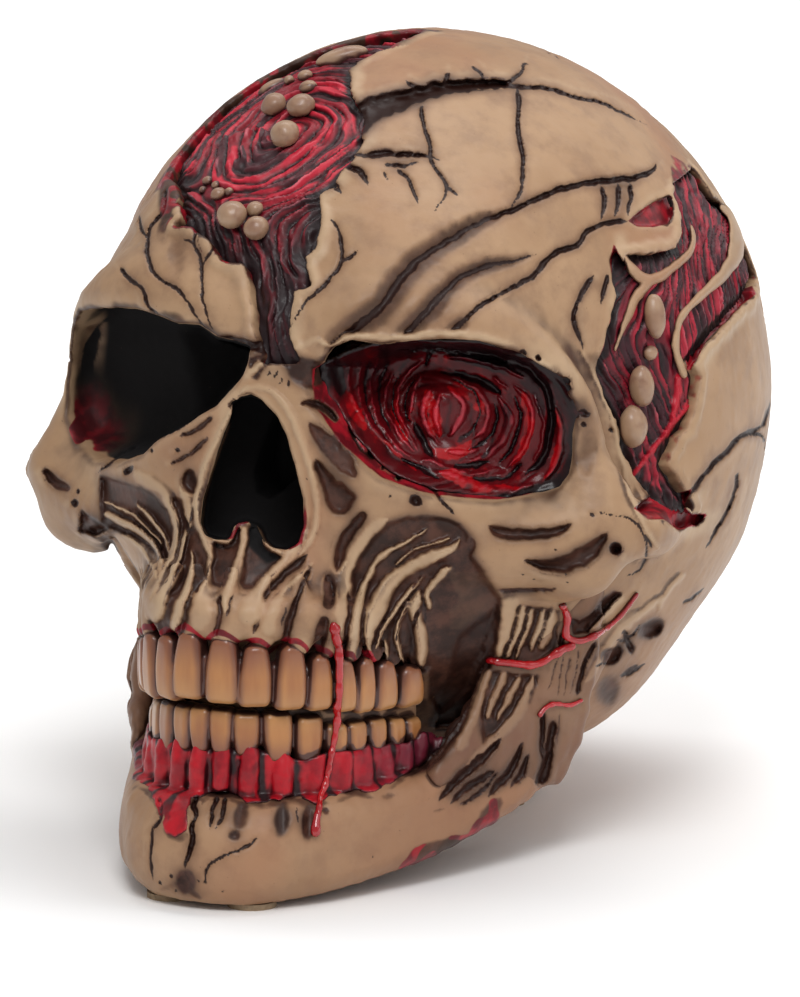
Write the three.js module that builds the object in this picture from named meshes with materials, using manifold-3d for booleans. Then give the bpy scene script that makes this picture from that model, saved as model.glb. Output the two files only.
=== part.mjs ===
// Decorative skull with open wounds, a hollow resin casting painted as bone.
// Millimetres, +Z up. The face looks along -Y and the skull's own left is +X. z = 0 is the surface it stands on.
import * as THREE from "three";
import { mergeVertices } from "three/addons/utils/BufferGeometryUtils.js";
import Module from "manifold-3d";

const wasm = await Module();
wasm.setup();

// ---------------------------------------------------------------- driving dimensions
const GAP = 0.3; // clearance between neighbouring pieces
const VAULT = { c: [0, 13, 84], r: [68, 83, 76.5] };
const CAVITY = { c: [0, 32, 86], r: [60, 56, 67] };
const FOOT_Z = 1.5; // underside of the casting, above the pads
const PAD = { t: 1.2, chinR: 5, baseR: 3.5 };
const BASE_HOLE = { c: [0, 18], r: [12, 18], plug: 6 };
const POCKET = 3.3; // depth of the wound pockets
const FLESH_TOP = 1.0; // flesh surface below the bone surface
const ORBIT_FLOOR_LEFT = -33;
const ORBIT_FLOOR_RIGHT = -25;
const TEETH_PER_ROW = 16;

// outline of an eye socket, x and z
const ORBIT = [
  [12.3, 105.5], [20, 109.2], [30, 111], [40, 111], [49, 108.5], [55, 103], [58, 95],
  [57, 85], [53, 80], [45, 79], [34, 81.5], [26.5, 84.8], [18.6, 92], [13.5, 99],
];
// outline of the nose opening, x and z
const NOSE = [
  [0, 100.3], [4.5, 98.5], [8, 91.5], [11.3, 82.2], [12.5, 75.7], [11, 70.6], [7.5, 69.2], [3.5, 71.5],
  [0, 74.3], [-3.5, 71.5], [-7.5, 69.2], [-11, 70.6], [-12.5, 75.7], [-11.3, 82.2], [-8, 91.5], [-4.5, 98.5],
];
// wound outlines in the plane seen along azimuth, elevation
const CROWN_WOUND = {
  az: -25, el: 45, from: 92, to: 150,
  outline: [
    [-5.5, 120.6], [1.6, 100.3], [22.6, 82.5], [23.3, 68.9], [30.9, 58.4], [29.3, 56], [33.8, 51], [31.4, 48.7],
    [35.4, 38.1], [28.4, 34.4], [28.2, 38.5], [19.6, 49.1], [12.2, 49], [3, 53], [-1.4, 53.3], [-22.1, 68.7],
    [-25.1, 85.7], [-14.1, 110.8], [-8, 119.6],
  ],
};
const TEMPLE_WOUND = {
  az: 80, el: 10, from: 45, to: 110,
  outline: [
    [36, 127], [46, 123], [47, 116], [54, 114], [60, 106], [62, 98], [52, 96], [35, 94], [26, 92], [18, 90],
    [13, 87], [15, 84], [13, 80], [10, 74], [7, 73], [4, 68], [8, 62], [12, 57], [2, 60], [-4, 66],
    [-7, 72], [-7, 78], [-10, 83], [-13, 90], [-9, 94], [-7, 99], [-5, 105], [0, 111], [12, 110], [19, 110],
    [22, 112], [25, 116], [26, 120], [30, 124],
  ],
};
// eggs: name, point on the skull surface, radii, how far the centre is sunk
const EGGS = [
  ["egg_crown_a", [-16.4, -23.6, 150.2], [2.9, 2.9, 2.9], 2],
  ["egg_crown_b", [-9.6, -26.2, 150.7], [3.0, 3.0, 3.0], 2],
  ["egg_crown_c", [-12.2, -33.6, 147.0], [3.2, 3.2, 3.2], 2],
  ["egg_crown_d", [-14.6, -13.6, 154.6], [1.9, 1.9, 1.7], 1],
  ["egg_crown_e", [-9.0, -5.0, 157.7], [2.1, 3.0, 1.9], 1],
  ["egg_crown_f", [-21.6, -15.5, 151.6], [2.0, 2.4, 1.8], 1],
  ["egg_forehead_a", [-12.0, -51.5, 132.7], [3.0, 3.0, 3.0], 2],
  ["egg_forehead_b", [-5.6, -53.8, 130.6], [2.5, 2.5, 2.5], 2],
  ["egg_forehead_c", [-7.2, -49.6, 134.8], [1.7, 1.7, 1.7], 1],
  ["egg_forehead_d", [-17.4, -46.8, 135.8], [1.7, 1.7, 1.7], 1],
  ["egg_forehead_e", [-21.2, -43.3, 137.1], [1.4, 1.4, 1.4], 1],
  ["egg_temple_a", [60.9, -7.1, 110.5], [1.6, 1.7, 2.7], 1],
  ["egg_temple_b", [60.9, -9.3, 103.6], [1.6, 1.7, 1.7], 1],
  ["egg_temple_c", [60.1, -11.4, 97.2], [2.0, 2.1, 2.7], 1],
  ["egg_temple_d", [59.4, -14.1, 89.4], [2.2, 2.4, 2.9], 1],
];
// half of each arch, front to back: x, y, z, half thickness, half height
const ALVEOLAR = [[0, -84, 57.9, 5, 4], [15.5, -77, 57.7, 5, 4], [22, -64, 55.4, 5.2, 5], [25, -47, 51.5, 5.6, 7], [24, -34, 50, 5.6, 8.5]];
const UPPER_TEETH = [[0, -87, 47.2, 2.6, 6.2], [8.5, -84.3, 47.2, 2.6, 6.2], [16.5, -77.5, 46.8, 2.8, 6], [23.5, -64, 44.2, 3.2, 5.4], [27, -48, 39.4, 3.6, 4.4], [26.5, -38, 37, 3.4, 4]];
const LOWER_TEETH = [[0, -84.5, 35.2, 2.3, 5.2], [8, -81.6, 35.2, 2.3, 5.2], [15, -75.5, 35, 2.6, 5], [22, -62.5, 33, 3, 4.6], [25.6, -47, 29, 3.3, 4], [25.2, -38, 27, 3.1, 3.6]];
const LOWER_GUM = [[0, -85, 25.7, 4.3, 3.9], [15.5, -76.5, 25.6, 4.3, 3.9], [23, -63, 24.6, 4.4, 3.3], [27.2, -47, 22.9, 4.2, 1.7], [27.6, -40, 22.2, 3.6, 1.1]];
const JAW = [[0, -86, 11.4, 7.5, 10.1], [15, -79, 11.4, 7.5, 10.1], [25.5, -64, 11.9, 7.2, 9.1], [32.5, -47, 13.9, 7, 7.2], [39, -30, 24, 6.5, 13], [42, -16, 36, 5.5, 17]];
const RAMUS = [[41, -22, 28], [45, -13, 42], [49, -6, 54]];
// cheek muscle sheet: outer corners top front, top rear, bottom front, bottom rear
const MUSCLE = { tf: [45.5, -42.5, 56], tr: [54, -28, 56.5], bf: [38.5, -52.5, 25], br: [48.5, -27, 22.5], t: 3.4 };
// runs of blood, points on their centre lines
const MOUTH_DRIP = { r: 0.95, path: [[22.4, -78.4, 58.8], [23.2, -77.6, 51], [22.9, -75.6, 42], [22.3, -76.2, 34], [22.2, -80, 25], [21.6, -82.2, 16.3]] };
const CHEEK_DRIPS = [
  ["cheek_blood_upper", 0.9, [[53, -33.6, 54.2], [52.6, -28.4, 50.2], [52.5, -24.8, 46.6], [55, -19, 47.6], [57.4, -15.6, 50.4]]],
  ["cheek_blood_middle", 1.0, [[51.6, -24.8, 45], [49.2, -31.6, 43], [45.6, -40.4, 42.4], [42, -46.6, 43.4]]],
  ["cheek_blood_lower", 0.7, [[48.6, -32, 32], [50.6, -26.4, 33.4], [51.2, -21.8, 32.6]]],
];
const SHARDS = [
  ["temple_bone_shard_rear", 1.3, [[53.4, 42.5, 123], [55.6, 46, 116.5], [61.4, 25, 111.8], [63.2, 5.5, 108.6], [63.2, -1, 104], [63.8, -0.5, 98]]],
  ["temple_bone_shard_front", 1.2, [[57, 17, 123.6], [58.9, 12.5, 120.4], [59.4, 4.9, 118.2], [58.4, -3.6, 117.4], [56.6, -10, 117.6]]],
];

// ---------------------------------------------------------------- implicit skull surface
const smin = (a, b, k) => {
  if (k <= 0) return Math.min(a, b);
  const h = Math.max(k - Math.abs(a - b), 0) / k;
  return Math.min(a, b) - h * h * k * 0.25;
};
const smax = (a, b, k) => -smin(-a, -b, k);
const ball = (c, r) => (x, y, z) => {
  const px = x - c[0], py = y - c[1], pz = z - c[2];
  const k0 = Math.hypot(px / r[0], py / r[1], pz / r[2]);
  const k1 = Math.hypot(px / r[0] ** 2, py / r[1] ** 2, pz / r[2] ** 2);
  return k0 < 1e-3 ? -Math.min(...r) : (k0 * (k0 - 1)) / Math.max(k1, 1e-6);
};
// Catmull-Rom through points of any dimension
function smooth(points, n = 4) {
  const first = points[0].map((v, i) => 2 * v - points[1][i]);
  const last = points.at(-1).map((v, i) => 2 * v - points.at(-2)[i]);
  const q = [first, ...points, last], out = [];
  for (let i = 1; i < q.length - 2; i++)
    for (let j = 0; j < n; j++) {
      const t = j / n, [a, b, c, d] = [q[i - 1], q[i], q[i + 1], q[i + 2]];
      out.push(b.map((_, m) => 0.5 * (2 * b[m] + (c[m] - a[m]) * t + (2 * a[m] - 5 * b[m] + 4 * c[m] - d[m]) * t * t + (3 * b[m] - a[m] - 3 * c[m] + d[m]) * t ** 3)));
    }
  out.push(points.at(-1));
  return out;
}
function rod(points) {
  const p = smooth(points);
  return (x, y, z) => {
    let best = Infinity;
    for (let i = 1; i < p.length; i++) {
      const a = p[i - 1], b = p[i], ab = [b[0] - a[0], b[1] - a[1], b[2] - a[2]];
      const l = Math.max(ab[0] ** 2 + ab[1] ** 2 + ab[2] ** 2, 1e-9);
      const t = Math.min(1, Math.max(0, ((x - a[0]) * ab[0] + (y - a[1]) * ab[1] + (z - a[2]) * ab[2]) / l));
      best = Math.min(best, Math.hypot(x - a[0] - t * ab[0], y - a[1] - t * ab[1], z - a[2] - t * ab[2]) - a[3] - t * (b[3] - a[3]));
    }
    return best;
  };
}
const SURFACE = [];
const join = (k, f) => SURFACE.push([1, k, f]);
const scoop = (k, f) => SURFACE.push([-1, k, f]);
const flip = (points, s) => points.map((p) => [p[0] * s, ...p.slice(1)]);
const SIDES = [1, -1];
join(0, ball(VAULT.c, VAULT.r));
for (const s of SIDES) scoop(16, ball([80 * s, -32, 94], [23, 26, 26])); // temples
for (const s of SIDES) join(14, ball([18 * s, -35, 115], [23, 21, 17])); // forehead
for (const s of SIDES) join(6, rod(flip([[3, -56.5, 111, 6.5], [16, -56.5, 115, 6.2], [31, -52, 116, 6], [42, -46.5, 113, 5.5], [50, -39, 106, 4.8], [54.5, -33, 97, 4.5], [56, -31, 87, 4.8], [57, -32, 79, 5.5]], s))); // brow
join(12, ball([0, -38, 78], [34, 22, 28]));
join(11, ball([0, -50, 62], [22, 22, 20]));
for (const s of SIDES) join(5, rod(flip([[59, -31, 78, 6], [57, -34, 72, 7.5], [47, -42, 69, 7.5], [37, -49, 69, 6], [26, -55, 74, 4.5], [16, -59, 84, 3.5]], s))); // cheekbone
for (const s of SIDES) join(5, ball([54 * s, -33, 65], [11, 9, 8.5]));
for (const s of SIDES) join(4, rod(flip([[60, -32, 72, 7.5], [65.5, -25.5, 70.5, 6], [64, -14, 69, 6], [58, 0, 70, 5]], s))); // arch
join(7, ball([0, -54, 99], [8.5, 9, 13])); // bridge of the nose
for (const s of SIDES) join(3, rod(flip([[0, -63, 101.5, 2.4], [5.5, -62.5, 96, 2.4], [10, -61, 86, 2.4], [13, -59.5, 77, 2.4], [11.5, -60.5, 71.5, 2.2], [7.5, -62, 69.5, 2], [3, -64, 72, 1.9], [0, -65.5, 75.5, 1.9]], s)));
join(9, ball([0, -62, 62], [17, 19, 12])); // upper jaw
join(6, ball([0, -36, 40], [21, 36, 15])); // palate
for (const s of SIDES) join(8, ball([36 * s, 4, 46], [14, 30, 24]));
join(10, ball([0, 18, 10], [21, 28, 22])); // foot of the casting
const skull = (x, y, z) => SURFACE.reduce((d, [op, k, f]) => (op > 0 ? smin(d, f(x, y, z), k) : smax(d, -f(x, y, z), k)), 60);
const hollow = (x, y, z) => smax(ball(CAVITY.c, CAVITY.r)(x, y, z), -(y + 15), 10);

// ---------------------------------------------------------------- solids
function solid(geometry) {
  const g = geometry.index ? geometry.toNonIndexed() : geometry.clone();
  for (const n of ["normal", "uv"]) g.deleteAttribute(n);
  const m = mergeVertices(g, 1e-4);
  return new wasm.Manifold(new wasm.Mesh({ numProp: 3, vertProperties: new Float32Array(m.attributes.position.array), triVerts: new Uint32Array(m.index.array) }));
}
function geometryOf(s) {
  const m = s.getMesh(), v = new Float32Array(m.numVert * 3);
  for (let i = 0; i < m.numVert; i++) v.set(m.vertProperties.subarray(i * m.numProp, i * m.numProp + 3), i * 3);
  const g = new THREE.BufferGeometry().setAttribute("position", new THREE.BufferAttribute(v, 3)).setIndex(new THREE.BufferAttribute(new Uint32Array(m.triVerts), 1));
  g.computeVertexNormals();
  return g;
}
const largest = (s) => s.decompose().reduce((a, b) => (b.volume() > a.volume() ? b : a));

// an icosphere drawn in along its rays until it lies on a surface; pull crowds its vertices towards the face
function wrapped(detail, centre, pull, field, level = 0, reach = 150) {
  const g = new THREE.IcosahedronGeometry(1, detail);
  for (const n of ["normal", "uv"]) g.deleteAttribute(n);
  const m = mergeVertices(g, 1e-4), p = m.getAttribute("position"), d = new THREE.Vector3();
  const at = (t) => field(centre[0] + d.x * t, centre[1] + d.y * t, centre[2] + d.z * t) - level;
  for (let i = 0; i < p.count; i++) {
    d.fromBufferAttribute(p, i).normalize();
    d.y -= pull;
    d.normalize();
    let t = reach;
    while (t > 2 && at(t) > 0) t -= 1;
    let a = t, b = t + 1;
    for (let j = 0; j < 14; j++) {
      const c = (a + b) / 2;
      if (at(c) > 0) b = c;
      else a = c;
    }
    p.setXYZ(i, centre[0] + d.x * a, centre[1] + d.y * a, centre[2] + d.z * a);
  }
  return solid(m);
}
const CENTRE = [0, -4, 76], PULL = 0.42;

// a box bent along an arch; swell changes thickness and lower or upper edge along it
function arch(half, { steps = 40, across = 2, rows = 2, grow = 0, swell = null } = {}) {
  const mirrored = [...half].slice(1).reverse().map((p) => [-p[0], ...p.slice(1)]);
  const path = smooth([...mirrored, ...half], 12);
  const length = [0];
  for (let i = 1; i < path.length; i++) length.push(length[i - 1] + Math.hypot(path[i][0] - path[i - 1][0], path[i][1] - path[i - 1][1]));
  const total = length.at(-1);
  const at = (s) => {
    const l = Math.min(Math.max(s, 0), 1) * total;
    let i = 1;
    while (i < length.length - 1 && length[i] < l) i++;
    const t = (l - length[i - 1]) / (length[i] - length[i - 1]);
    return path[i].map((v, m) => path[i - 1][m] + t * (v - path[i - 1][m]));
  };
  const g = new THREE.BoxGeometry(1, 1, 1, steps, across, rows), p = g.getAttribute("position");
  for (let i = 0; i < p.count; i++) {
    const s = p.getX(i) + 0.5, u = p.getY(i) * 2, w = p.getZ(i) * 2;
    const c = at(s), a = at(s - 0.01), b = at(s + 0.01);
    let tx = b[0] - a[0], ty = b[1] - a[1];
    const l = Math.hypot(tx, ty);
    tx /= l;
    ty /= l;
    const e = swell ? swell(s, w) : [1, 0];
    const ht = (c[3] + grow) * e[0] * (1 - 0.22 * w ** 4), hh = c[4] + grow;
    const out = grow * (s - 0.5) * 2;
    p.setXYZ(i, c[0] - ty * u * ht + tx * out, c[1] + tx * u * ht + ty * out, c[2] + w * hh * (1 - 0.08 * u * u) + e[1]);
  }
  return solid(g);
}
function tube(points, r, sides = 7, steps = 14) {
  const shape = new THREE.Shape();
  for (let i = 0; i < sides; i++) {
    const a = (i / sides) * Math.PI * 2;
    i ? shape.lineTo(r * Math.cos(a), r * Math.sin(a)) : shape.moveTo(r, 0);
  }
  const curve = new THREE.CatmullRomCurve3(points.map((p) => new THREE.Vector3(...p)));
  return solid(new THREE.ExtrudeGeometry(shape, { steps, bevelEnabled: false, extrudePath: curve }));
}
function inset(outline, by) {
  let area = 0;
  outline.forEach((p, i) => {
    const q = outline[(i + 1) % outline.length];
    area += p[0] * q[1] - q[0] * p[1];
  });
  const side = Math.sign(area);
  return outline.map((p, i) => {
    const a = outline[(i + outline.length - 1) % outline.length], b = outline[(i + 1) % outline.length];
    const n1 = new THREE.Vector2(a[1] - p[1], p[0] - a[0]).normalize(), n2 = new THREE.Vector2(p[1] - b[1], b[0] - p[0]).normalize();
    const n = n1.clone().add(n2).multiplyScalar((by * side) / Math.max(1 + n1.dot(n2), 0.3));
    return [p[0] + n.x, p[1] + n.y];
  });
}
function viewPrism({ az, el, from, to }, outline) {
  const a = THREE.MathUtils.degToRad(az), e = THREE.MathUtils.degToRad(el);
  const right = new THREE.Vector3(Math.cos(a), Math.sin(a), 0);
  const back = new THREE.Vector3(Math.sin(a) * Math.cos(e), -Math.cos(a) * Math.cos(e), Math.sin(e));
  const up = new THREE.Vector3().crossVectors(back, right);
  const shape = new THREE.Shape(outline.map((p) => new THREE.Vector2(...p)));
  const g = new THREE.ExtrudeGeometry(shape, { depth: to - from, bevelEnabled: false });
  g.translate(0, 0, from);
  g.applyMatrix4(new THREE.Matrix4().makeBasis(right, up, back));
  return solid(g);
}
// a prism along +Y from an x, z outline; its far end is scaled about a point and may slope
function socketPrism(outline, y0, y1, { steps = 1, scale = 1, about = [0, 0], slope = () => 0 } = {}) {
  const shape = new THREE.Shape(outline.map(([x, z]) => new THREE.Vector2(x, z)));
  const g = new THREE.ExtrudeGeometry(shape, { depth: y1 - y0, steps, bevelEnabled: false }), p = g.getAttribute("position");
  for (let i = 0; i < p.count; i++) {
    const t = p.getZ(i) / (y1 - y0), k = t > 0.99 ? scale : 1, x = about[0] + (p.getX(i) - about[0]) * k, z = about[1] + (p.getY(i) - about[1]) * k;
    p.setXYZ(i, x, y0 + p.getZ(i) + (t > 0.01 ? slope(x) : 0), z);
  }
  // x, z, y is a left-handed frame, so turn each face round
  const turned = g.index ? g.toNonIndexed() : g;
  const q = turned.getAttribute("position");
  for (let i = 0; i < q.count; i += 3) {
    const b = [q.getX(i + 1), q.getY(i + 1), q.getZ(i + 1)], c = [q.getX(i + 2), q.getY(i + 2), q.getZ(i + 2)];
    q.setXYZ(i + 1, ...c);
    q.setXYZ(i + 2, ...b);
  }
  return solid(turned);
}
const block = (w, d, h, x, y, z) => solid(new THREE.BoxGeometry(w, d, h).translate(x, y, z));
const oval = (rx, ry, h, x, y, z, n = 32) => solid(new THREE.CylinderGeometry(1, 1, h, n).rotateX(Math.PI / 2).scale(rx, ry, 1).translate(x, y, z));
const FLOOR = block(260, 300, 40, 0, 0, FOOT_Z - 20);

// ---------------------------------------------------------------- the pieces
const pieces = [];
const bone = { color: 0xc8aa87, roughness: 0.55, metalness: 0 };
const flesh = { color: 0xb02a38, roughness: 0.25, metalness: 0 };
const blood = { color: 0xc81420, roughness: 0.12, metalness: 0 };
const ivory = { color: 0xd7a55f, roughness: 0.3, metalness: 0 };
const egg = { color: 0xb4a07d, roughness: 0.4, metalness: 0 };
const felt = { color: 0x1c1c1c, roughness: 0.95, metalness: 0 };

const outer = wrapped(10, CENTRE, PULL, skull);
const clear = wrapped(7, CENTRE, PULL, skull, 0.8); // what other pieces must stay out of
const pocketFloor = wrapped(7, CENTRE, PULL, skull, -POCKET);
const fleshTop = wrapped(7, CENTRE, PULL, skull, -FLESH_TOP);
const fleshFloor = wrapped(7, CENTRE, PULL, skull, -POCKET + 0.45);
const cavity = wrapped(4, [0, 36, 86], 0.1, hollow);

const eggSolids = EGGS.map(([name, at, r, detail]) => {
  const p = new THREE.Vector3(...at), e = 0.5;
  const n = new THREE.Vector3(skull(p.x + e, p.y, p.z) - skull(p.x - e, p.y, p.z), skull(p.x, p.y + e, p.z) - skull(p.x, p.y - e, p.z), skull(p.x, p.y, p.z + e) - skull(p.x, p.y, p.z - e)).normalize();
  p.addScaledVector(n, -0.4 - skull(p.x, p.y, p.z));
  const make = (g) => solid(new THREE.IcosahedronGeometry(1, detail).scale(r[0] + g, r[1] + g, r[2] + g).translate(p.x, p.y, p.z));
  return { name, body: make(0), seat: make(GAP + 0.12) };
});
const shardSolids = SHARDS.map(([name, r, path]) => ({ name, body: tube(path, r, 6, 16), seat: tube(path, r + GAP + 0.1, 6, 16) }));

// casting of the cranium and the face
const orbitOutline = (s) => ORBIT.map(([x, z]) => [x * s, z]);
const lean = (x) => -(58 - Math.abs(x)) * 0.25;
let cranium = outer
  .add(arch(ALVEOLAR, { steps: 24, across: 1, rows: 2 }))
  .subtract(socketPrism(orbitOutline(1), -90, ORBIT_FLOOR_LEFT, { slope: (x) => lean(x) }))
  .subtract(socketPrism(orbitOutline(-1), -90, ORBIT_FLOOR_RIGHT, { steps: 2, scale: 0.7, about: [-33, 95] }))
  .subtract(socketPrism(NOSE, -80, -40, { scale: 0.8, about: [0, 84] }))
  .subtract(cavity)
  .subtract(oval(BASE_HOLE.r[0], BASE_HOLE.r[1], 60, BASE_HOLE.c[0], BASE_HOLE.c[1], 10))
  .subtract(FLOOR);
for (const w of [CROWN_WOUND, TEMPLE_WOUND]) cranium = cranium.subtract(viewPrism(w, w.outline).subtract(pocketFloor));
for (const s of [...eggSolids, ...shardSolids]) cranium = cranium.subtract(s.seat);

// teeth, gum and jaw
const toothSwell = (lift) => (s, w) => {
  const ph = Math.abs(Math.sin(Math.PI * s * TEETH_PER_ROW)), n = Math.pow(ph, 0.6);
  return [0.78 + 0.22 * n, w * lift > 0 ? -lift * 0.9 * (1 - n) * Math.abs(w) : 0];
};
const teethSteps = TEETH_PER_ROW * 3;
const upperTeeth = arch(UPPER_TEETH, { steps: teethSteps, across: 1, rows: 2, swell: toothSwell(-1) });
const upperSeat = arch(UPPER_TEETH, { steps: 24, across: 1, rows: 2, grow: 0.7 });
const lowerTeeth = arch(LOWER_TEETH, { steps: teethSteps, across: 1, rows: 2, swell: toothSwell(1) });
const lowerSeat = arch(LOWER_TEETH, { steps: 24, across: 1, rows: 2, grow: 0.6 });
const gumSeat = arch(LOWER_GUM, { steps: 24, across: 1, rows: 2, grow: 0.45 });
let gum = arch(LOWER_GUM, { steps: 24, across: 1, rows: 2 }).subtract(lowerSeat);
cranium = cranium.subtract(upperSeat);
let jaw = arch(JAW, { steps: 28, across: 1, rows: 3 });
jaw = jaw.add(solid(new THREE.IcosahedronGeometry(1, 3).scale(17, 10, 9.5).translate(0, -85.5, 9.5)));
for (const s of SIDES) jaw = jaw.add(tube(flip(RAMUS, s), 6.6, 10, 8));

function muscle(s, grow) {
  const g = new THREE.BoxGeometry(1, 1, 1, 5, 1, 6), p = g.getAttribute("position");
  const { tf, tr, bf, br, t } = MUSCLE;
  for (let i = 0; i < p.count; i++) {
    const u = (p.getX(i) + 0.5) * (1 + 2 * grow * 0.06) - grow * 0.06, w = (p.getZ(i) + 0.5) * (1 + 2 * grow * 0.035) - grow * 0.035;
    const q = [0, 1, 2].map((m) => (1 - w) * ((1 - u) * bf[m] + u * br[m]) + w * ((1 - u) * tf[m] + u * tr[m]));
    const waist = -1.6 * Math.sin(Math.PI * Math.min(Math.max(w, 0), 1));
    const out = waist + (p.getY(i) < 0 ? grow : -t - grow);
    p.setXYZ(i, (q[0] + 0.87 * out) * s, q[1] - 0.48 * out, q[2]);
  }
  if (s < 0) {
    const n = g.toNonIndexed(), q = n.getAttribute("position");
    for (let i = 0; i < q.count; i += 3) {
      const b = [q.getX(i + 1), q.getY(i + 1), q.getZ(i + 1)], c = [q.getX(i + 2), q.getY(i + 2), q.getZ(i + 2)];
      q.setXYZ(i + 1, ...c);
      q.setXYZ(i + 2, ...b);
    }
    return solid(n);
  }
  return solid(g);
}
const mouthDrip = tube(MOUTH_DRIP.path, MOUTH_DRIP.r, 7, 18), mouthDripSeat = tube(MOUTH_DRIP.path, MOUTH_DRIP.r + GAP + 0.1, 7, 18);
const cheekDrips = CHEEK_DRIPS.map(([name, r, path]) => ({ name, body: tube(path, r, 6, 12), seat: tube(path, r + GAP + 0.1, 6, 12) }));
jaw = jaw.subtract(gumSeat).subtract(lowerSeat).subtract(clear).subtract(FLOOR);
for (const s of SIDES) jaw = jaw.subtract(muscle(s, 0.4));
const cut = (s) => cheekDrips.reduce((a, d) => a.subtract(d.seat), s.subtract(mouthDripSeat));
cranium = cut(cranium);

function add(name, s, look) {
  const mesh = new THREE.Mesh(geometryOf(largest(s)), new THREE.MeshStandardMaterial(look));
  mesh.name = name;
  pieces.push(mesh);
}
add("cranium_shell", cranium, bone);
add("mandible", cut(jaw), bone);
add("upper_teeth_row", upperTeeth.subtract(mouthDripSeat), ivory);
add("lower_teeth_row", lowerTeeth.subtract(mouthDripSeat).subtract(clear), ivory);
add("lower_gum", gum.subtract(mouthDripSeat).subtract(clear), flesh);
add("left_cheek_muscle", cut(muscle(1, 0).subtract(clear)), { ...flesh, color: 0x8a5a4a });
add("right_cheek_muscle", muscle(-1, 0).subtract(clear), { ...flesh, color: 0x8a5a4a });

const inside = (outline) => inset(outline, 0.6);
let eyeFlesh = socketPrism(inset(orbitOutline(1), 0.5), ORBIT_FLOOR_LEFT - 5, ORBIT_FLOOR_LEFT - GAP, {});
{
  // lean the disc of flesh with the socket's floor
  const m = eyeFlesh.getMesh(), v = new Float32Array(m.numVert * 3);
  for (let i = 0; i < m.numVert; i++) {
    const [x, y, z] = m.vertProperties.subarray(i * m.numProp, i * m.numProp + 3);
    v.set([x, y + lean(x), z], i * 3);
  }
  eyeFlesh = new wasm.Manifold(new wasm.Mesh({ numProp: 3, vertProperties: v, triVerts: new Uint32Array(m.triVerts) }));
}
add("left_eye_flesh", eyeFlesh, flesh);
const insert = (w) => [...eggSolids, ...shardSolids].reduce((a, s) => a.subtract(s.seat), viewPrism(w, inside(w.outline)).intersect(fleshTop).subtract(fleshFloor));
add("crown_flesh", insert(CROWN_WOUND), flesh);
add("temple_flesh", insert(TEMPLE_WOUND), flesh);
for (const e of eggSolids) add(e.name, e.body, egg);
for (const e of shardSolids) add(e.name, eggSolids.reduce((a, s) => a.subtract(s.seat), e.body), bone);

add("mouth_blood_drip", mouthDrip, blood);
for (const d of cheekDrips) add(d.name, d.body, blood);

// plug that closes the casting, and the pads under it
add("base_plug", oval(BASE_HOLE.r[0] - GAP, BASE_HOLE.r[1] - GAP, BASE_HOLE.plug, BASE_HOLE.c[0], BASE_HOLE.c[1], FOOT_Z + BASE_HOLE.plug / 2), { color: 0x2a2320, roughness: 0.8, metalness: 0 });
for (const [name, r, x, y] of [["pad_chin_left", PAD.chinR, 9, -85], ["pad_chin_right", PAD.chinR, -9, -85], ["pad_base_left", PAD.baseR, 16.2, 18], ["pad_base_right", PAD.baseR, -16.2, 18]])
  add(name, oval(r, r, PAD.t, x, y, PAD.t / 2, 20), felt);

const group = new THREE.Group();
group.name = "decorative_skull";
for (const p of pieces) group.add(p);
export default group;
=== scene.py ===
import bpy
import math
import time
import numpy as np
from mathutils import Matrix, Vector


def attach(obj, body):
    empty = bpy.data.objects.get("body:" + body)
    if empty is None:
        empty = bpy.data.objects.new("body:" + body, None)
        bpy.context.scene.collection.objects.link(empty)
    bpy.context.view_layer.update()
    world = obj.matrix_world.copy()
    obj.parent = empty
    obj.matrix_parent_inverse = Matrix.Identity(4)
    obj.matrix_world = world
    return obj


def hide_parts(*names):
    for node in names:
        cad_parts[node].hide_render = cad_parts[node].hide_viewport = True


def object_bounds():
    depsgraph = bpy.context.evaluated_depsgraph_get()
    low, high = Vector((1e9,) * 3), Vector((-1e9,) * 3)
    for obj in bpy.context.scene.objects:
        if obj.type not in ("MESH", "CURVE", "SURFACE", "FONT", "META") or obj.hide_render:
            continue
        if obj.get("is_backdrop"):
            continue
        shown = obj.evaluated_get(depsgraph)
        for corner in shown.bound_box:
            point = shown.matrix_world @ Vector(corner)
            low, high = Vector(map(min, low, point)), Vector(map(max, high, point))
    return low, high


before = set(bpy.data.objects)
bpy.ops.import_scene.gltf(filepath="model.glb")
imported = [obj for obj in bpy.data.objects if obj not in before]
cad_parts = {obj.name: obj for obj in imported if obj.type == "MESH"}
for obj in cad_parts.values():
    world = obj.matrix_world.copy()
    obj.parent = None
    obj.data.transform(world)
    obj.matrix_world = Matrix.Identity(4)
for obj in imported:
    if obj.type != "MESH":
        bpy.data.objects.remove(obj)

import openvdb as vdb
from mathutils import Vector

T0 = time.time()
CAD_BOX = [list(c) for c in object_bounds()]
H = 0.5  # voxel of the big casting, mm
HF = 0.4  # voxel of the small wet pieces, mm


def log(*a):
    print("[%.1fs]" % (time.time() - T0), *a)


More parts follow.
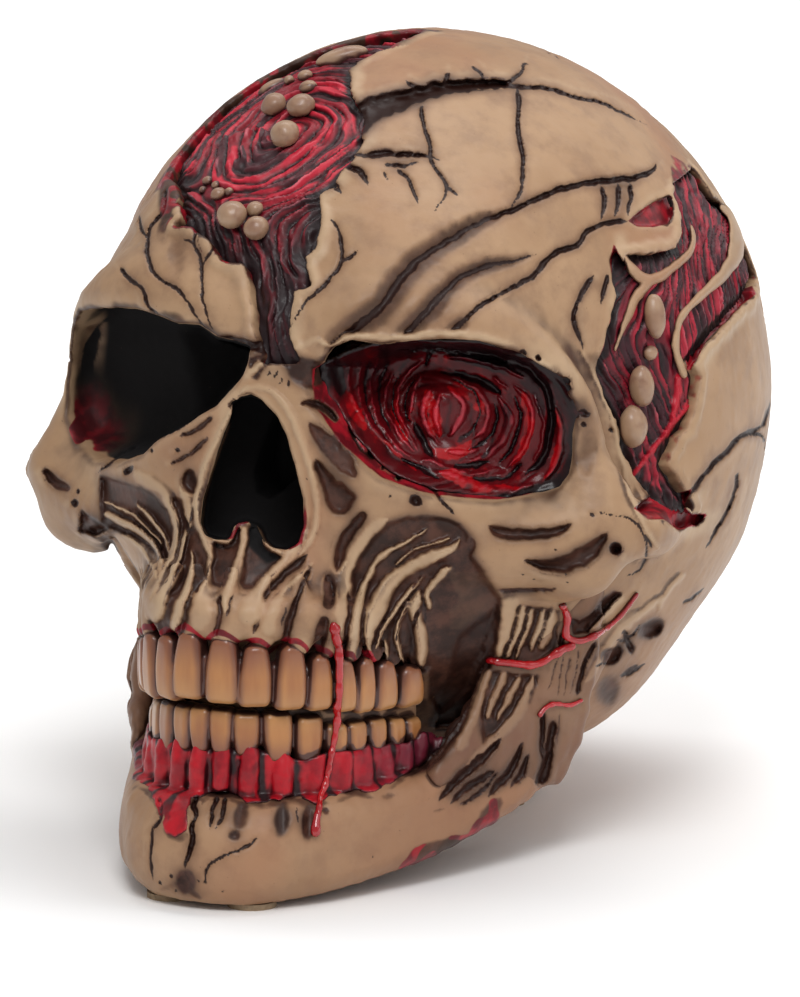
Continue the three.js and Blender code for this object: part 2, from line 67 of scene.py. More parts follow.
# ------------------------------------------------------------------ signed distance volumes, millimetres
class Vol:
    def __init__(s, lo, hi, h, fill=60.0):
        s.h = float(h)
        s.lo = np.floor(np.array(lo, float) / h) * h
        s.n = [int(math.ceil((hi[i] - s.lo[i]) / h)) + 1 for i in range(3)]
        s.ax = [(s.lo[i] + np.arange(s.n[i]) * h).astype(np.float32) for i in range(3)]
        s.hi = s.lo + (np.array(s.n) - 1) * s.h
        s.a = np.full(s.n, fill, np.float32)

    def box(s, lo, hi):
        sl = []
        for i in range(3):
            a = max(0, int(math.floor((lo[i] - s.lo[i]) / s.h)))
            b = min(s.n[i], int(math.ceil((hi[i] - s.lo[i]) / s.h)) + 1)
            if b <= a:
                return None
            sl.append(slice(a, b))
        return tuple(sl)

    def grid(s, sl=(slice(None),) * 3):
        return (s.ax[0][sl[0]][:, None, None], s.ax[1][sl[1]][None, :, None], s.ax[2][sl[2]][None, None, :])

    def sample(s, p):
        q = (p - s.lo) / s.h
        q = np.clip(q, 0, np.array(s.n) - 1.001)
        i = q.astype(np.int32)
        f = (q - i).astype(np.float32)
        a = s.a
        x, y, z = i.T
        fx, fy, fz = f.T
        c00 = a[x, y, z] * (1 - fx) + a[x + 1, y, z] * fx
        c10 = a[x, y + 1, z] * (1 - fx) + a[x + 1, y + 1, z] * fx
        c01 = a[x, y, z + 1] * (1 - fx) + a[x + 1, y, z + 1] * fx
        c11 = a[x, y + 1, z + 1] * (1 - fx) + a[x + 1, y + 1, z + 1] * fx
        return (c00 * (1 - fy) + c10 * fy) * (1 - fz) + (c01 * (1 - fy) + c11 * fy) * fz

    def points(s):
        X, Y, Z = np.meshgrid(*s.ax, indexing="ij")
        return np.stack([X.ravel(), Y.ravel(), Z.ravel()], 1)


class Union:
    """Several volumes read as one surface."""

    def __init__(s, *vols):
        s.v = list(vols)

    def sample(s, p):
        out = np.full(len(p), 60.0, np.float32)
        for v in s.v:
            m = np.all((p >= v.lo) & (p <= v.hi), 1)
            if m.any():
                out[m] = np.minimum(out[m], v.sample(p[m]))
        return out


def normals(v, p, e=0.9):
    g = np.stack([v.sample(p + np.array(d) * e) - v.sample(p - np.array(d) * e) for d in ((1, 0, 0), (0, 1, 0), (0, 0, 1))], 1)
    return g / np.maximum(np.linalg.norm(g, axis=1, keepdims=True), 1e-9)


def smin(a, b, k):
    if k <= 0:
        return np.minimum(a, b)
    h = np.maximum(k - np.abs(a - b), 0) / k
    return np.minimum(a, b) - h * h * (k * 0.25)


def smax(a, b, k):
    return -smin(-a, -b, k)


def apply(v, d, sl, op, k):
    a = v.a[sl]
    if op == "+":
        v.a[sl] = smin(a, d, k)
    elif op == "-":
        v.a[sl] = smax(a, -d, k)
    else:
        v.a[sl] = smax(a, d, k)


def rotm(rx, ry, rz):
    rx, ry, rz = [math.radians(t) for t in (rx, ry, rz)]
    X = np.array([[1, 0, 0], [0, math.cos(rx), -math.sin(rx)], [0, math.sin(rx), math.cos(rx)]])
    Y = np.array([[math.cos(ry), 0, math.sin(ry)], [0, 1, 0], [-math.sin(ry), 0, math.cos(ry)]])
    Z = np.array([[math.cos(rz), -math.sin(rz), 0], [math.sin(rz), math.cos(rz), 0], [0, 0, 1]])
    return Z @ Y @ X


def ell(v, c, r, op="+", k=0, rot=(0, 0, 0), pad=14):
    m = max(r) + pad + k
    ext = np.array(r) + pad + k if rot == (0, 0, 0) else np.array([m, m, m])
    sl = v.box(np.array(c) - ext, np.array(c) + ext)
    if sl is None:
        return
    X, Y, Z = v.grid(sl)
    R = rotm(*rot).T.astype(np.float32)
    dx, dy, dz = X - c[0], Y - c[1], Z - c[2]
    if rot == (0, 0, 0):
        px, py, pz = dx, dy, dz
    else:
        px = R[0, 0] * dx + R[0, 1] * dy + R[0, 2] * dz
        py = R[1, 0] * dx + R[1, 1] * dy + R[1, 2] * dz
        pz = R[2, 0] * dx + R[2, 1] * dy + R[2, 2] * dz
    k0 = np.sqrt((px / r[0]) ** 2 + (py / r[1]) ** 2 + (pz / r[2]) ** 2)
    k1 = np.sqrt((px / r[0] ** 2) ** 2 + (py / r[1] ** 2) ** 2 + (pz / r[2] ** 2) ** 2)
    d = k0 * (k0 - 1) / np.maximum(k1, 1e-6)
    d = np.where(k0 < 1e-3, -min(r), d)
    apply(v, d.astype(np.float32), sl, op, k)


def tube(v, pts, op="+", k=0, pad=5):
    P = np.array(pts, float)
    m = P[:, 3].max() + pad + k
    sl = v.box(P[:, :3].min(0) - m, P[:, :3].max(0) + m)
    if sl is None:
        return
    X, Y, Z = v.grid(sl)
    D = None
    for a, b in zip(P[:-1], P[1:]):
        ab = b[:3] - a[:3]
        L = max(float(ab @ ab), 1e-9)
        px, py, pz = X - np.float32(a[0]), Y - np.float32(a[1]), Z - np.float32(a[2])
        t = np.clip((px * np.float32(ab[0]) + py * np.float32(ab[1]) + pz * np.float32(ab[2])) / np.float32(L), 0, 1)
        d = np.sqrt((px - t * np.float32(ab[0])) ** 2 + (py - t * np.float32(ab[1])) ** 2 + (pz - t * np.float32(ab[2])) ** 2) - (np.float32(a[3]) + np.float32(b[3] - a[3]) * t)
        D = d if D is None else np.minimum(D, d)
    apply(v, D.astype(np.float32), sl, op, k)


def chain(v, P, op, k, pad=3.0):
    """A tube laid down segment by segment, so a long thin one stays cheap. P holds x, y, z, r."""
    P = np.asarray(P, float)
    n = 4
    for i in range(0, len(P) - 1, n):
        tube(v, P[i : i + n + 1], op, k, pad)


def plane(v, n, p, op="&", k=0):
    n = np.array(n, float)
    n /= np.linalg.norm(n)
    sl = (slice(None),) * 3
    X, Y, Z = v.grid(sl)
    apply(v, ((X - p[0]) * n[0] + (Y - p[1]) * n[1] + (Z - p[2]) * n[2]).astype(np.float32), sl, op, k)


def spline(pts, n=6):
    P = np.array(pts, float)
    if len(P) < 3:
        t = np.linspace(0, 1, n + 1)[:, None]
        return P[0] * (1 - t) + P[-1] * t
    Q = np.vstack([2 * P[0] - P[1], P, 2 * P[-1] - P[-2]])
    out = []
    for i in range(1, len(Q) - 2):
        for t in np.linspace(0, 1, n, endpoint=False):
            a, b, c, d = Q[i - 1], Q[i], Q[i + 1], Q[i + 2]
            out.append(0.5 * ((2 * b) + (-a + c) * t + (2 * a - 5 * b + 4 * c - d) * t * t + (-a + 3 * b - 3 * c + d) * t**3))
    out.append(P[-1])
    return np.array(out)


def resample(P, step):
    P = np.asarray(P, float)
    L = np.concatenate([[0], np.cumsum(np.linalg.norm(np.diff(P, axis=0), axis=1))])
    n = max(2, int(round(L[-1] / step)) + 1)
    s = np.linspace(0, L[-1], n)
    return np.stack([np.interp(s, L, P[:, i]) for i in range(P.shape[1])], 1)


def polysdf(u, w, P):
    P = np.asarray(P, np.float32)
    d = None
    ins = None
    for i in range(len(P)):
        a = P[i]
        b = P[(i + 1) % len(P)]
        e = b - a
        L = max(float(e @ e), 1e-9)
        wx, wy = u - a[0], w - a[1]
        t = np.clip((wx * e[0] + wy * e[1]) / L, 0, 1)
        dd = (wx - t * e[0]) ** 2 + (wy - t * e[1]) ** 2
        d = dd if d is None else np.minimum(d, dd)
        if e[1] != 0:
            c = ((a[1] <= w) & (b[1] > w)) | ((b[1] <= w) & (a[1] > w))
            c = c & (u < a[0] + (w - a[1]) * e[0] / e[1])
            ins = c if ins is None else ins ^ c
    d = np.sqrt(d)
    return np.where(ins, -d, d).astype(np.float32)


class Mask2:
    """Signed distance to a closed outline, on a fine plane grid."""

    def __init__(s, poly, step, margin):
        P = np.asarray(poly, float)
        s.step = step
        s.lo = P.min(0) - margin
        n = np.ceil((P.max(0) + margin - s.lo) / step).astype(int) + 1
        u = (s.lo[0] + np.arange(n[0]) * step)[:, None]
        w = (s.lo[1] + np.arange(n[1]) * step)[None, :]
        s.n = n
        s.a = polysdf(u + 0 * w, w + 0 * u, P)

    def __call__(s, u, w):
        x = np.clip((u - s.lo[0]) / s.step, 0, s.n[0] - 1.001)
        y = np.clip((w - s.lo[1]) / s.step, 0, s.n[1] - 1.001)
        i, j = x.astype(np.int32), y.astype(np.int32)
        fx, fy = x - i, y - j
        a = s.a
        return ((a[i, j] * (1 - fx) + a[i + 1, j] * fx) * (1 - fy) + (a[i, j + 1] * (1 - fx) + a[i + 1, j + 1] * fx) * fy).astype(np.float32)


def wall(v, pts, op="+", k=0, rnd=4, pad=6):
    P = np.array(pts, float)
    m = P[:, 3].max() + pad + k
    lo = np.array([P[:, 0].min() - m, P[:, 1].min() - m, (P[:, 2] - P[:, 4]).min() - pad - k])
    hi = np.array([P[:, 0].max() + m, P[:, 1].max() + m, (P[:, 2] + P[:, 4]).max() + pad + k])
    sl = v.box(lo, hi)
    X, Y, Z = v.grid(sl)
    best = None
    for a, b in zip(P[:-1], P[1:]):
        ab = b - a
        L = max(float(ab[:2] @ ab[:2]), 1e-9)
        t = np.clip(((X - a[0]) * ab[0] + (Y - a[1]) * ab[1]) / L, 0, 1)
        dd = np.sqrt((X - a[0] - t * ab[0]) ** 2 + (Y - a[1] - t * ab[1]) ** 2)
        zc = a[2] + t * ab[2]
        th = a[3] + t * ab[3]
        hh = a[4] + t * ab[4]
        r = np.minimum(rnd, np.minimum(th, hh))
        qx = dd - (th - r)
        qz = np.abs(Z - zc) - (hh - r)
        d = np.sqrt(np.maximum(qx, 0) ** 2 + np.maximum(qz, 0) ** 2) + np.minimum(np.maximum(qx, qz), 0) - r
        best = d if best is None else np.minimum(best, d)
    apply(v, best.astype(np.float32), sl, op, k)


def axes_of(az, el):
    a, e = math.radians(az), math.radians(el)
    right = np.array([math.cos(a), math.sin(a), 0])
    back = np.array([math.sin(a) * math.cos(e), -math.cos(a) * math.cos(e), math.sin(e)])
    return right, np.cross(back, right), back


def prism(v, poly, o, w, up, w0, w1, taper=0.0, tc=(0, 0), rnd=2, op="-", k=0, pad=8):
    w = np.array(w, float)
    w /= np.linalg.norm(w)
    up = np.array(up, float)
    up -= w * (up @ w)
    up /= np.linalg.norm(up)
    side = np.cross(up, w)
    P = np.array(poly, float)
    o = np.array(o, float)
    cor = np.array([o + side * x + up * y + w * t for x, y in P for t in (w0, w1)])
    m = pad + k
    sl = v.box(cor.min(0) - m, cor.max(0) + m)
    X, Y, Z = v.grid(sl)
    dx, dy, dz = X - o[0], Y - o[1], Z - o[2]
    a = dx * side[0] + dy * side[1] + dz * side[2]
    b = dx * up[0] + dy * up[1] + dz * up[2]
    c = dx * w[0] + dy * w[1] + dz * w[2]
    s = 1 - taper * np.clip(c, w0, w1)
    d2 = polysdf((a - tc[0]) / s + tc[0], (b - tc[1]) / s + tc[1], P) * s + rnd
    dc = np.maximum(w0 - c, c - w1) + rnd
    d = np.sqrt(np.maximum(d2, 0) ** 2 + np.maximum(dc, 0) ** 2) + np.minimum(np.maximum(d2, dc), 0) - rnd
    apply(v, d.astype(np.float32), sl, op, k)


class Noise:
    def __init__(s, seed, n=48):
        s.n = n
        s.a = np.random.RandomState(seed).uniform(-1, 1, (n, n, n)).astype(np.float32)

    def __call__(s, p, scale):
        q = np.asarray(p, np.float32) / np.float32(scale) + 1000.0
        i = np.floor(q).astype(np.int32)
        f = q - i
        f = f * f * (3 - 2 * f)
        i %= s.n
        j = (i + 1) % s.n
        fx, fy, fz = f[..., 0], f[..., 1], f[..., 2]
        a = s.a
        g = lambda x, y, z: a[x, y, z]
        x0, y0, z0, x1, y1, z1 = i[..., 0], i[..., 1], i[..., 2], j[..., 0], j[..., 1], j[..., 2]
        c00 = g(x0, y0, z0) * (1 - fx) + g(x1, y0, z0) * fx
        c10 = g(x0, y1, z0) * (1 - fx) + g(x1, y1, z0) * fx
        c01 = g(x0, y0, z1) * (1 - fx) + g(x1, y0, z1) * fx
        c11 = g(x0, y1, z1) * (1 - fx) + g(x1, y1, z1) * fx
        return (c00 * (1 - fy) + c10 * fy) * (1 - fz) + (c01 * (1 - fy) + c11 * fy) * fz


N1, N2, N3 = Noise(11), Noise(12), Noise(13)


def noise2(u, w, scale, nz=N1, z=0.0):
    return nz(np.stack([u, w, np.full_like(u, z)], -1), scale)


# ------------------------------------------------------------------ viewing projections
class Cam:
    def __init__(s, az, el, D, T, F, c=(400.0, 498.5)):
        s.right, s.up, s.back = axes_of(az, el)
        s.T = np.array(T, float)
        s.D, s.F, s.c = D, F, c
        s.C = s.T + s.back * D

    def rays(s, uv):
        x = (uv[:, 0] - s.c[0]) / s.F
        y = (s.c[1] - uv[:, 1]) / s.F
        d = -s.back + x[:, None] * s.right + y[:, None] * s.up
        return d / np.linalg.norm(d, axis=1, keepdims=True)

    def proj(s, p):
        q = p - s.C
        z = -(q @ s.back)
        return s.c[0] + s.F * (q @ s.right) / z, s.c[1] - s.F * (q @ s.up) / z

    def grid_proj(s, X, Y, Z):
        qx, qy, qz = X - s.C[0], Y - s.C[1], Z - s.C[2]
        z = -(qx * s.back[0] + qy * s.back[1] + qz * s.back[2])
        return (s.c[0] + s.F * (qx * s.right[0] + qy * s.right[1] + qz * s.right[2]) / z, s.c[1] - s.F * (qx * s.up[0] + qy * s.up[1] + qz * s.up[2]) / z)

    def hit(s, v, uv, steps=260):
        d = s.rays(uv)
        t = np.full(len(d), s.D - 170.0)
        prev = t.copy()
        ok = np.zeros(len(d), bool)
        act = np.arange(len(d))
        for _ in range(steps):
            f = v.sample(s.C + d[act] * t[act, None])
            h = f < 0.03
            ok[act[h]] = True
            prev[act[~h]] = t[act[~h]]
            t[act] = np.where(h, t[act], t[act] + np.clip(f * 0.7, 0.15, 5.0))
            act = act[(~h) & (t[act] < s.D + 190)]
            if not len(act):
                break
        lo, hi = prev.copy(), t.copy()
        for _ in range(9):
            mid = (lo + hi) / 2
            inside = v.sample(s.C + d * mid[:, None]) < 0.0
            hi = np.where(inside, mid, hi)
            lo = np.where(inside, lo, mid)
        t = np.where(ok, hi, t)
        return s.C + d * t[:, None], ok


PX = 4.9  # pixels of the reference view per millimetre
VIEW = dict(az=26, el=12, D=3000.0, T=(0, 0.8, 65.8), F=14700.0)
cam = Cam(**VIEW)
VC = Cam(-25, 45, 3000.0, (0, 10, 110), 3000 * 5.5)  # looks at the crown wound
VT = Cam(80, 10, 3000.0, (0, 10, 90), 3000 * 5.5)  # looks at the left temple
VR = Cam(-64, 12, 3000.0, (0, 5, 80), 3000 * 5.0)  # looks at the right side
VL = Cam(95, 8, 3000.0, (0, 10, 80), 3000 * 5.0)  # looks at the left side
VB = Cam(178, 14, 3000.0, (0, 10, 85), 3000 * 5.0)  # looks at the back
VO = Cam(-160, 55, 3000.0, (0, 20, 95), 3000 * 5.0)  # looks at the back of the crown


def sstep(a, b, x):
    t = np.clip((x - a) / (b - a), 0, 1)
    return t * t * (3 - 2 * t)


# ------------------------------------------------------------------ relief drawn in a view
class Sheet:
    """Strokes drawn in a view, kept per pixel: height in millimetres, crack paint, wash with painted shade, red and
    highlight.
    """

    KEYS = ("h", "dark", "wash", "red", "hi")

    def __init__(s, c, w=800, h=1000):
        s.c = c
        s.n = (w + 2, h + 2)
        s.a = {k: np.zeros(s.n, np.float32) for k in s.KEYS}
        u, v = np.meshgrid(np.arange(s.n[0], dtype=np.float32), np.arange(s.n[1], dtype=np.float32), indexing="ij")
        s.wu = (1.2 * noise2(u, v, 9.0, N1, 7) + 0.7 * noise2(u, v, 3.4, N2, 8)).astype(np.float32)
        s.wv = (1.2 * noise2(u, v, 9.0, N3, 9) + 0.7 * noise2(u, v, 3.4, N1, 10)).astype(np.float32)
        s.rng = np.random.RandomState(5)
        s.a["soil"] = np.zeros(s.n, np.float32)
        s.z = None
        s.zc = 4

    def cell(s, lo, hi):
        lo = np.clip(np.floor(lo), 0, np.array(s.n) - 1).astype(int)
        hi = np.clip(np.ceil(hi) + 1, 0, np.array(s.n)).astype(int)
        if (hi <= lo).any():
            return None
        sl = (slice(lo[0], hi[0]), slice(lo[1], hi[1]))
        x = np.arange(lo[0], hi[0], dtype=np.float32)[:, None] + s.wu[sl]
        y = np.arange(lo[1], hi[1], dtype=np.float32)[None, :] + s.wv[sl]
        return sl, x, y

    def put(s, sl, f, g, depth, dark, wash, red, lift):
        a = s.a
        h = a["h"][sl]
        if lift:
            a["h"][sl] = h * (1 - f) + np.maximum(h, lift) * f
            for k in ("dark", "wash", "red"):
                a[k][sl] *= 1 - 0.94 * g
            a["hi"][sl] = np.maximum(a["hi"][sl], f)
            return
        a["h"][sl] = h * (1 - f) + np.minimum(h, -depth) * f
        a["hi"][sl] *= 1 - g
        for k, x in (("dark", dark), ("wash", wash), ("red", red)):
            if x:
                a[k][sl] = a[k][sl] * (1 - g) + np.maximum(a[k][sl], x) * g

    def stroke(s, uv, w=4.0, depth=0.8, w1=None, ends=(0.08, 0.3), dark=1.0, wash=0.0, red=0.0, lift=0.0, pw=1.6, jit=0.12):
        P = np.array(uv, float)
        if P.shape[1] == 2:
            L = np.concatenate([[0], np.cumsum(np.linalg.norm(np.diff(P, axis=0), axis=1))])
            P = np.column_stack([P, w + ((w if w1 is None else w1) - w) * L / max(L[-1], 1e-6)])
        Q = resample(spline(P, 5), 3.5)
        T = np.linspace(0, 1, len(Q))
        tp = np.ones(len(Q))
        if ends[0]:
            tp *= np.clip(T / ends[0], 0, 1) ** 0.6
        if ends[1]:
            tp *= np.clip((1 - T) / ends[1], 0, 1) ** 0.6
        W = np.maximum(Q[:, 2] / 2 * tp * (1 + jit * s.rng.uniform(-1, 1, len(Q))), 0.4)
        E = tp**0.8
        m = W.max() * 1.4 + 5
        c = s.cell(Q[:, :2].min(0) - m, Q[:, :2].max(0) + m)
        if c is None:
            return
        sl, x, y = c
        o = np.array([sl[0].start, sl[1].start])
        q2 = np.full((x.shape[0], y.shape[1]), 9.0, np.float32)
        ee = np.zeros_like(q2)
        x, y = x + 0 * y, y + 0 * x
        for i in range(len(Q) - 1):
            a, b = Q[i], Q[i + 1]
            r = max(W[i], W[i + 1]) * 1.4 + 4
            lo = np.maximum(np.floor(np.minimum(a[:2], b[:2]) - r - o), 0).astype(int)
            hi = np.minimum(np.ceil(np.maximum(a[:2], b[:2]) + r - o) + 1, q2.shape).astype(int)
            if (hi <= lo).any():
                continue
            w_ = (slice(lo[0], hi[0]), slice(lo[1], hi[1]))
            e = b[:2] - a[:2]
            wx, wy = x[w_] - a[0], y[w_] - a[1]
            k = np.clip((wx * e[0] + wy * e[1]) / max(e @ e, 1e-9), 0, 1)
            q = ((wx - k * e[0]) ** 2 + (wy - k * e[1]) ** 2) / (W[i] + (W[i + 1] - W[i]) * k) ** 2
            m_ = q < q2[w_]
            q2[w_] = np.where(m_, q, q2[w_])
            ee[w_] = np.where(m_, E[i] + (E[i + 1] - E[i]) * k, ee[w_])
        q = np.sqrt(q2)
        f = np.clip(1 - q**pw, 0, 1)
        g = sstep(1.2, 0.75, q) if not wash else sstep(1.08, 0.66, q)
        s.put(sl, f, g, depth * ee, dark, wash, red, lift)

    def blob(s, x0, y0, rx, ry=None, tilt=0.0, depth=0.0, dark=0.0, wash=0.0, red=0.0, soft=0.25, pw=2.0, lift=0.0):
        ry = ry or rx
        m = max(rx, ry) * (1 + soft) + 5
        c = s.cell(np.array([x0 - m, y0 - m]), np.array([x0 + m, y0 + m]))
        if c is None:
            return
        sl, x, y = c
        t = math.radians(tilt)
        dx, dy = x - x0 + 0 * y, y - y0 + 0 * x
        q = np.sqrt(((dx * math.cos(t) + dy * math.sin(t)) / rx) ** 2 + ((-dx * math.sin(t) + dy * math.cos(t)) / ry) ** 2)
        s.put(sl, np.clip(1 - q**pw, 0, 1), sstep(1 + soft, max(1 - soft, 0.02), q), depth, dark, wash, red, lift)

    def area(s, P, edge=4.0, depth=0.0, dark=0.0, wash=0.0, red=0.0, soft=1.5):
        P = np.array(P, float)
        c = s.cell(P.min(0) - 6 - soft * 2, P.max(0) + 6 + soft * 2)
        sl, x, y = c
        d = polysdf(x + 0 * y, y + 0 * x, P)
        s.put(sl, sstep(0.8, -edge, d), sstep(soft, -soft, d), depth, dark, wash, red, 0.0)

    def soften(s, r=5, r2=12):
        """The thin wash and painted shade that spread round the strokes: two widths of blur over the drawn paint."""
        def box(a, k):
            for ax in (0, 1):
                c = np.cumsum(np.concatenate([np.repeat(np.take(a, [0], ax), k + 1, ax), a, np.repeat(np.take(a, [-1], ax), k, ax)], ax), ax)
                n = a.shape[ax]
                a = (np.take(c, range(2 * k + 1, 2 * k + 1 + n), ax) - np.take(c, range(0, n), ax)) / (2 * k + 1)
            return a

        src = np.maximum(np.maximum(s.a["dark"], s.a["wash"]), s.a["red"] * 0.5).astype(np.float64)
        near, far = box(box(src, r), r), box(box(src, r2), r2)
        s.a["soil"] = (np.clip(1.1 * near + 0.7 * far, 0, 1) * (1 - 0.88 * s.a["hi"])).astype(np.float32)

    def see(s, vols):
        s.zc = max(4.0, max(v.h for v in vols) * 1.7 * s.c.F / s.c.D)
        n = [int(t / s.zc) + 3 for t in s.n]
        s.z = np.full(n, 1e9)
        for v in vols:
            idx = np.argwhere(np.abs(v.a) < v.h)
            p = v.lo + idx * v.h
            u, w = s.c.proj(p)
            d = -((p - s.c.C) @ s.c.back)
            i, j = (u / s.zc).astype(int), (w / s.zc).astype(int)
            ok = (u > 0) & (w > 0) & (i < n[0]) & (j < n[1])
            np.minimum.at(s.z, (i[ok], j[ok]), d[ok])
        z = np.where(s.z > 1e8, -1e9, s.z)
        for ax in (0, 1):
            z = np.maximum(z, np.maximum(np.roll(z, 1, ax), np.roll(z, -1, ax)))
        s.z = np.where(z < -1e8, 1e9, z)

    def at(s, p, n, keys, low=0.0, high=0.22, tol=9.0):
        u, w = s.c.proj(p)
        f = sstep(low, high, n @ s.c.back) * ((u > 0) & (u < s.n[0] - 2) & (w > 0) & (w < s.n[1] - 2))
        u, w = np.clip(u, 0, s.n[0] - 2.001), np.clip(w, 0, s.n[1] - 2.001)
        if s.z is not None:
            d = -((p - s.c.C) @ s.c.back)
            f = f * (d < s.z[(u / s.zc).astype(int), (w / s.zc).astype(int)] + tol)
        i, j = u.astype(int), w.astype(int)
        fx, fy = u - i, w - j
        out = {}
        for k in keys:
            a = s.a[k]
            out[k] = (a[i, j] * (1 - fx) + a[i + 1, j] * fx) * (1 - fy) + (a[i, j + 1] * (1 - fx) + a[i + 1, j + 1] * fx) * fy
        return f, out


S, M = Sheet(cam), Sheet(cam)  # the reference view, and what is mirrored to the side it hides
HID = {id(c): Sheet(c) for c in (VR, VL, VB, VO)}


def layers(p, n, keys=Sheet.KEYS):
    f, a = S.at(p, n, keys)
    out = {k: a[k] * f for k in keys}
    flip = np.array([-1.0, 1, 1])
    g, b = M.at(p * flip, n * flip, keys)
    seen = sstep(-0.02, 0.2, n @ cam.back)
    near = seen
    g = g * (p[:, 0] < 0) * (1 - near)
    for k in keys:
        out[k] = out[k] + b[k] * g if k == "h" else np.maximum(out[k], b[k] * g)
    for h in HID.values():
        g, b = h.at(p, n, keys, 0.15, 0.4)
        g = g * (1 - near)
        for k in keys:
            out[k] = out[k] + b[k] * g if k == "h" else np.maximum(out[k], b[k] * g)
    return out


def carve(v, deep=4.5, out=2.2, relief=None):
    """Lay the drawn relief on a volume's surface."""
    relief = relief or (lambda p, g: layers(p, g, ("h",))["h"])
    a = v.a
    idx = np.argwhere((a > -deep) & (a < out)).astype(np.int32)
    idx = idx[((idx > 0) & (idx < np.array(v.n) - 1)).all(1)]
    d = np.zeros(len(idx), np.float32)
    for c0 in range(0, len(idx), 400000):
        i, j, k = idx[c0 : c0 + 400000].T
        g = np.stack([a[i + 1, j, k] - a[i - 1, j, k], a[i, j + 1, k] - a[i, j - 1, k], a[i, j, k + 1] - a[i, j, k - 1]], 1)
        g = g / np.maximum(np.linalg.norm(g, axis=1, keepdims=True), 1e-6)
        p = v.lo + idx[c0 : c0 + 400000] * v.h
        d[c0 : c0 + 400000] = relief(p, g)
    i, j, k = idx.T
    a[i, j, k] -= d


def chart(c, p):
    """Plane coordinates, in millimetres, of points seen from a view."""
    return p @ c.right, p @ c.up


# ------------------------------------------------------------------ the skull's smooth volumes
def both(f):
    for s in (1, -1):
        f(s)


def mx(p, s):
    return [(q[0] * s,) + tuple(q[1:]) for q in p]


ORBIT = [(12.3, 105.5), (20, 109.2), (30, 111), (40, 111), (49, 108.5), (55, 103), (58, 95), (57, 85), (53, 80), (45, 79), (34, 81.5), (26.5, 84.8), (18.6, 92), (13.5, 99)]
NOSE = [(0, 101.5), (4.5, 99.5), (8, 92), (11.3, 82), (12.5, 75), (11, 69.5), (7.5, 68), (3.5, 70.5), (0, 73.5), (-3.5, 70.5), (-7.5, 68), (-11, 69.5), (-12.5, 75), (-11.3, 82), (-8, 92), (-4.5, 99.5)]
UPPER = [(0, -87, 47.2, 2.6, 6.2), (8.5, -84.3, 47.2, 2.6, 6.2), (16.5, -77.5, 46.8, 2.8, 6), (23.5, -64, 44.2, 3.2, 5.4), (27, -48, 39.4, 3.6, 4.4), (26.5, -38, 37, 3.4, 4)]
LOWER = [(0, -84.5, 35.2, 2.3, 5.2), (8, -81.6, 35.2, 2.3, 5.2), (15, -75.5, 35, 2.6, 5), (22, -62.5, 33, 3, 4.6), (25.6, -47, 29, 3.3, 4), (25.2, -38, 27, 3.1, 3.6)]


def full(h):
    return [(-p[0],) + tuple(p[1:]) for p in h[:0:-1]] + list(h)


def cranium(v):
    ell(v, (0, 13, 84), (68, 83, 76.5), "+", 0, pad=60)
    both(lambda s: ell(v, (80 * s, -32, 94), (23, 26, 26), "-", 16))
    both(lambda s: ell(v, (18 * s, -35, 115), (23, 21, 17), "+", 14))
    both(lambda s: tube(v, spline(mx([(3, -56.5, 111, 6.5), (16, -56.5, 115, 6.2), (31, -52, 116, 6), (42, -46.5, 113, 5.5), (50, -39, 106, 4.8), (54.5, -33, 97, 4.5), (56, -31, 87, 4.8), (57, -32, 79, 5.5)], s), 4), "+", 6))
    ell(v, (0, -38, 78), (34, 22, 28), "+", 12)
    ell(v, (0, -50, 62), (22, 22, 20), "+", 11)
    both(lambda s: tube(v, spline(mx([(59, -31, 78, 6), (57, -34, 72, 7.5), (47, -42, 69, 7.5), (37, -49, 69, 6), (26, -55, 74, 4.5), (16, -59, 84, 3.5)], s), 4), "+", 5))
    both(lambda s: ell(v, (54 * s, -33, 65), (11, 9, 8.5), "+", 5))
    both(lambda s: tube(v, spline(mx([(60, -32, 72, 7.5), (65.5, -25.5, 70.5, 6), (64, -14, 69, 6), (58, 0, 70, 5)], s), 4), "+", 4))
    ell(v, (0, -54, 99), (8.5, 9, 13), "+", 7)
    both(lambda s: tube(v, spline(mx([(0, -62.5, 102.5, 2.4), (5.5, -63, 97, 2.5), (10.4, -63, 87, 2.6), (13.4, -62.5, 78, 2.7), (12.6, -62.8, 72, 2.5), (8, -64, 69.0, 2.0), (3.2, -66.2, 72, 1.8), (0, -67.5, 76.0, 1.7)], s), 4), "+", 3))
    # upper jaw, its tooth sockets and the palate behind them
    wall(v, spline([(-24, -34, 50, 5.6, 8.5), (-25, -47, 51.5, 5.6, 7), (-22, -64, 55.4, 5.2, 5), (-15.5, -77, 57.7, 5, 4), (0, -84, 57.9, 5, 4), (15.5, -77, 57.7, 5, 4), (22, -64, 55.4, 5.2, 5), (25, -47, 51.5, 5.6, 7), (24, -34, 50, 5.6, 8.5)], 4), "+", 6, rnd=3)
    ell(v, (0, -62, 62), (17, 19, 12), "+", 9)
    ell(v, (0, -36, 40), (21, 36, 15), "+", 6)
    both(lambda s: ell(v, (36 * s, 4, 46), (14, 30, 24), "+", 8))
    ell(v, (0, 18, 10), (21, 28, 22), "+", 10)


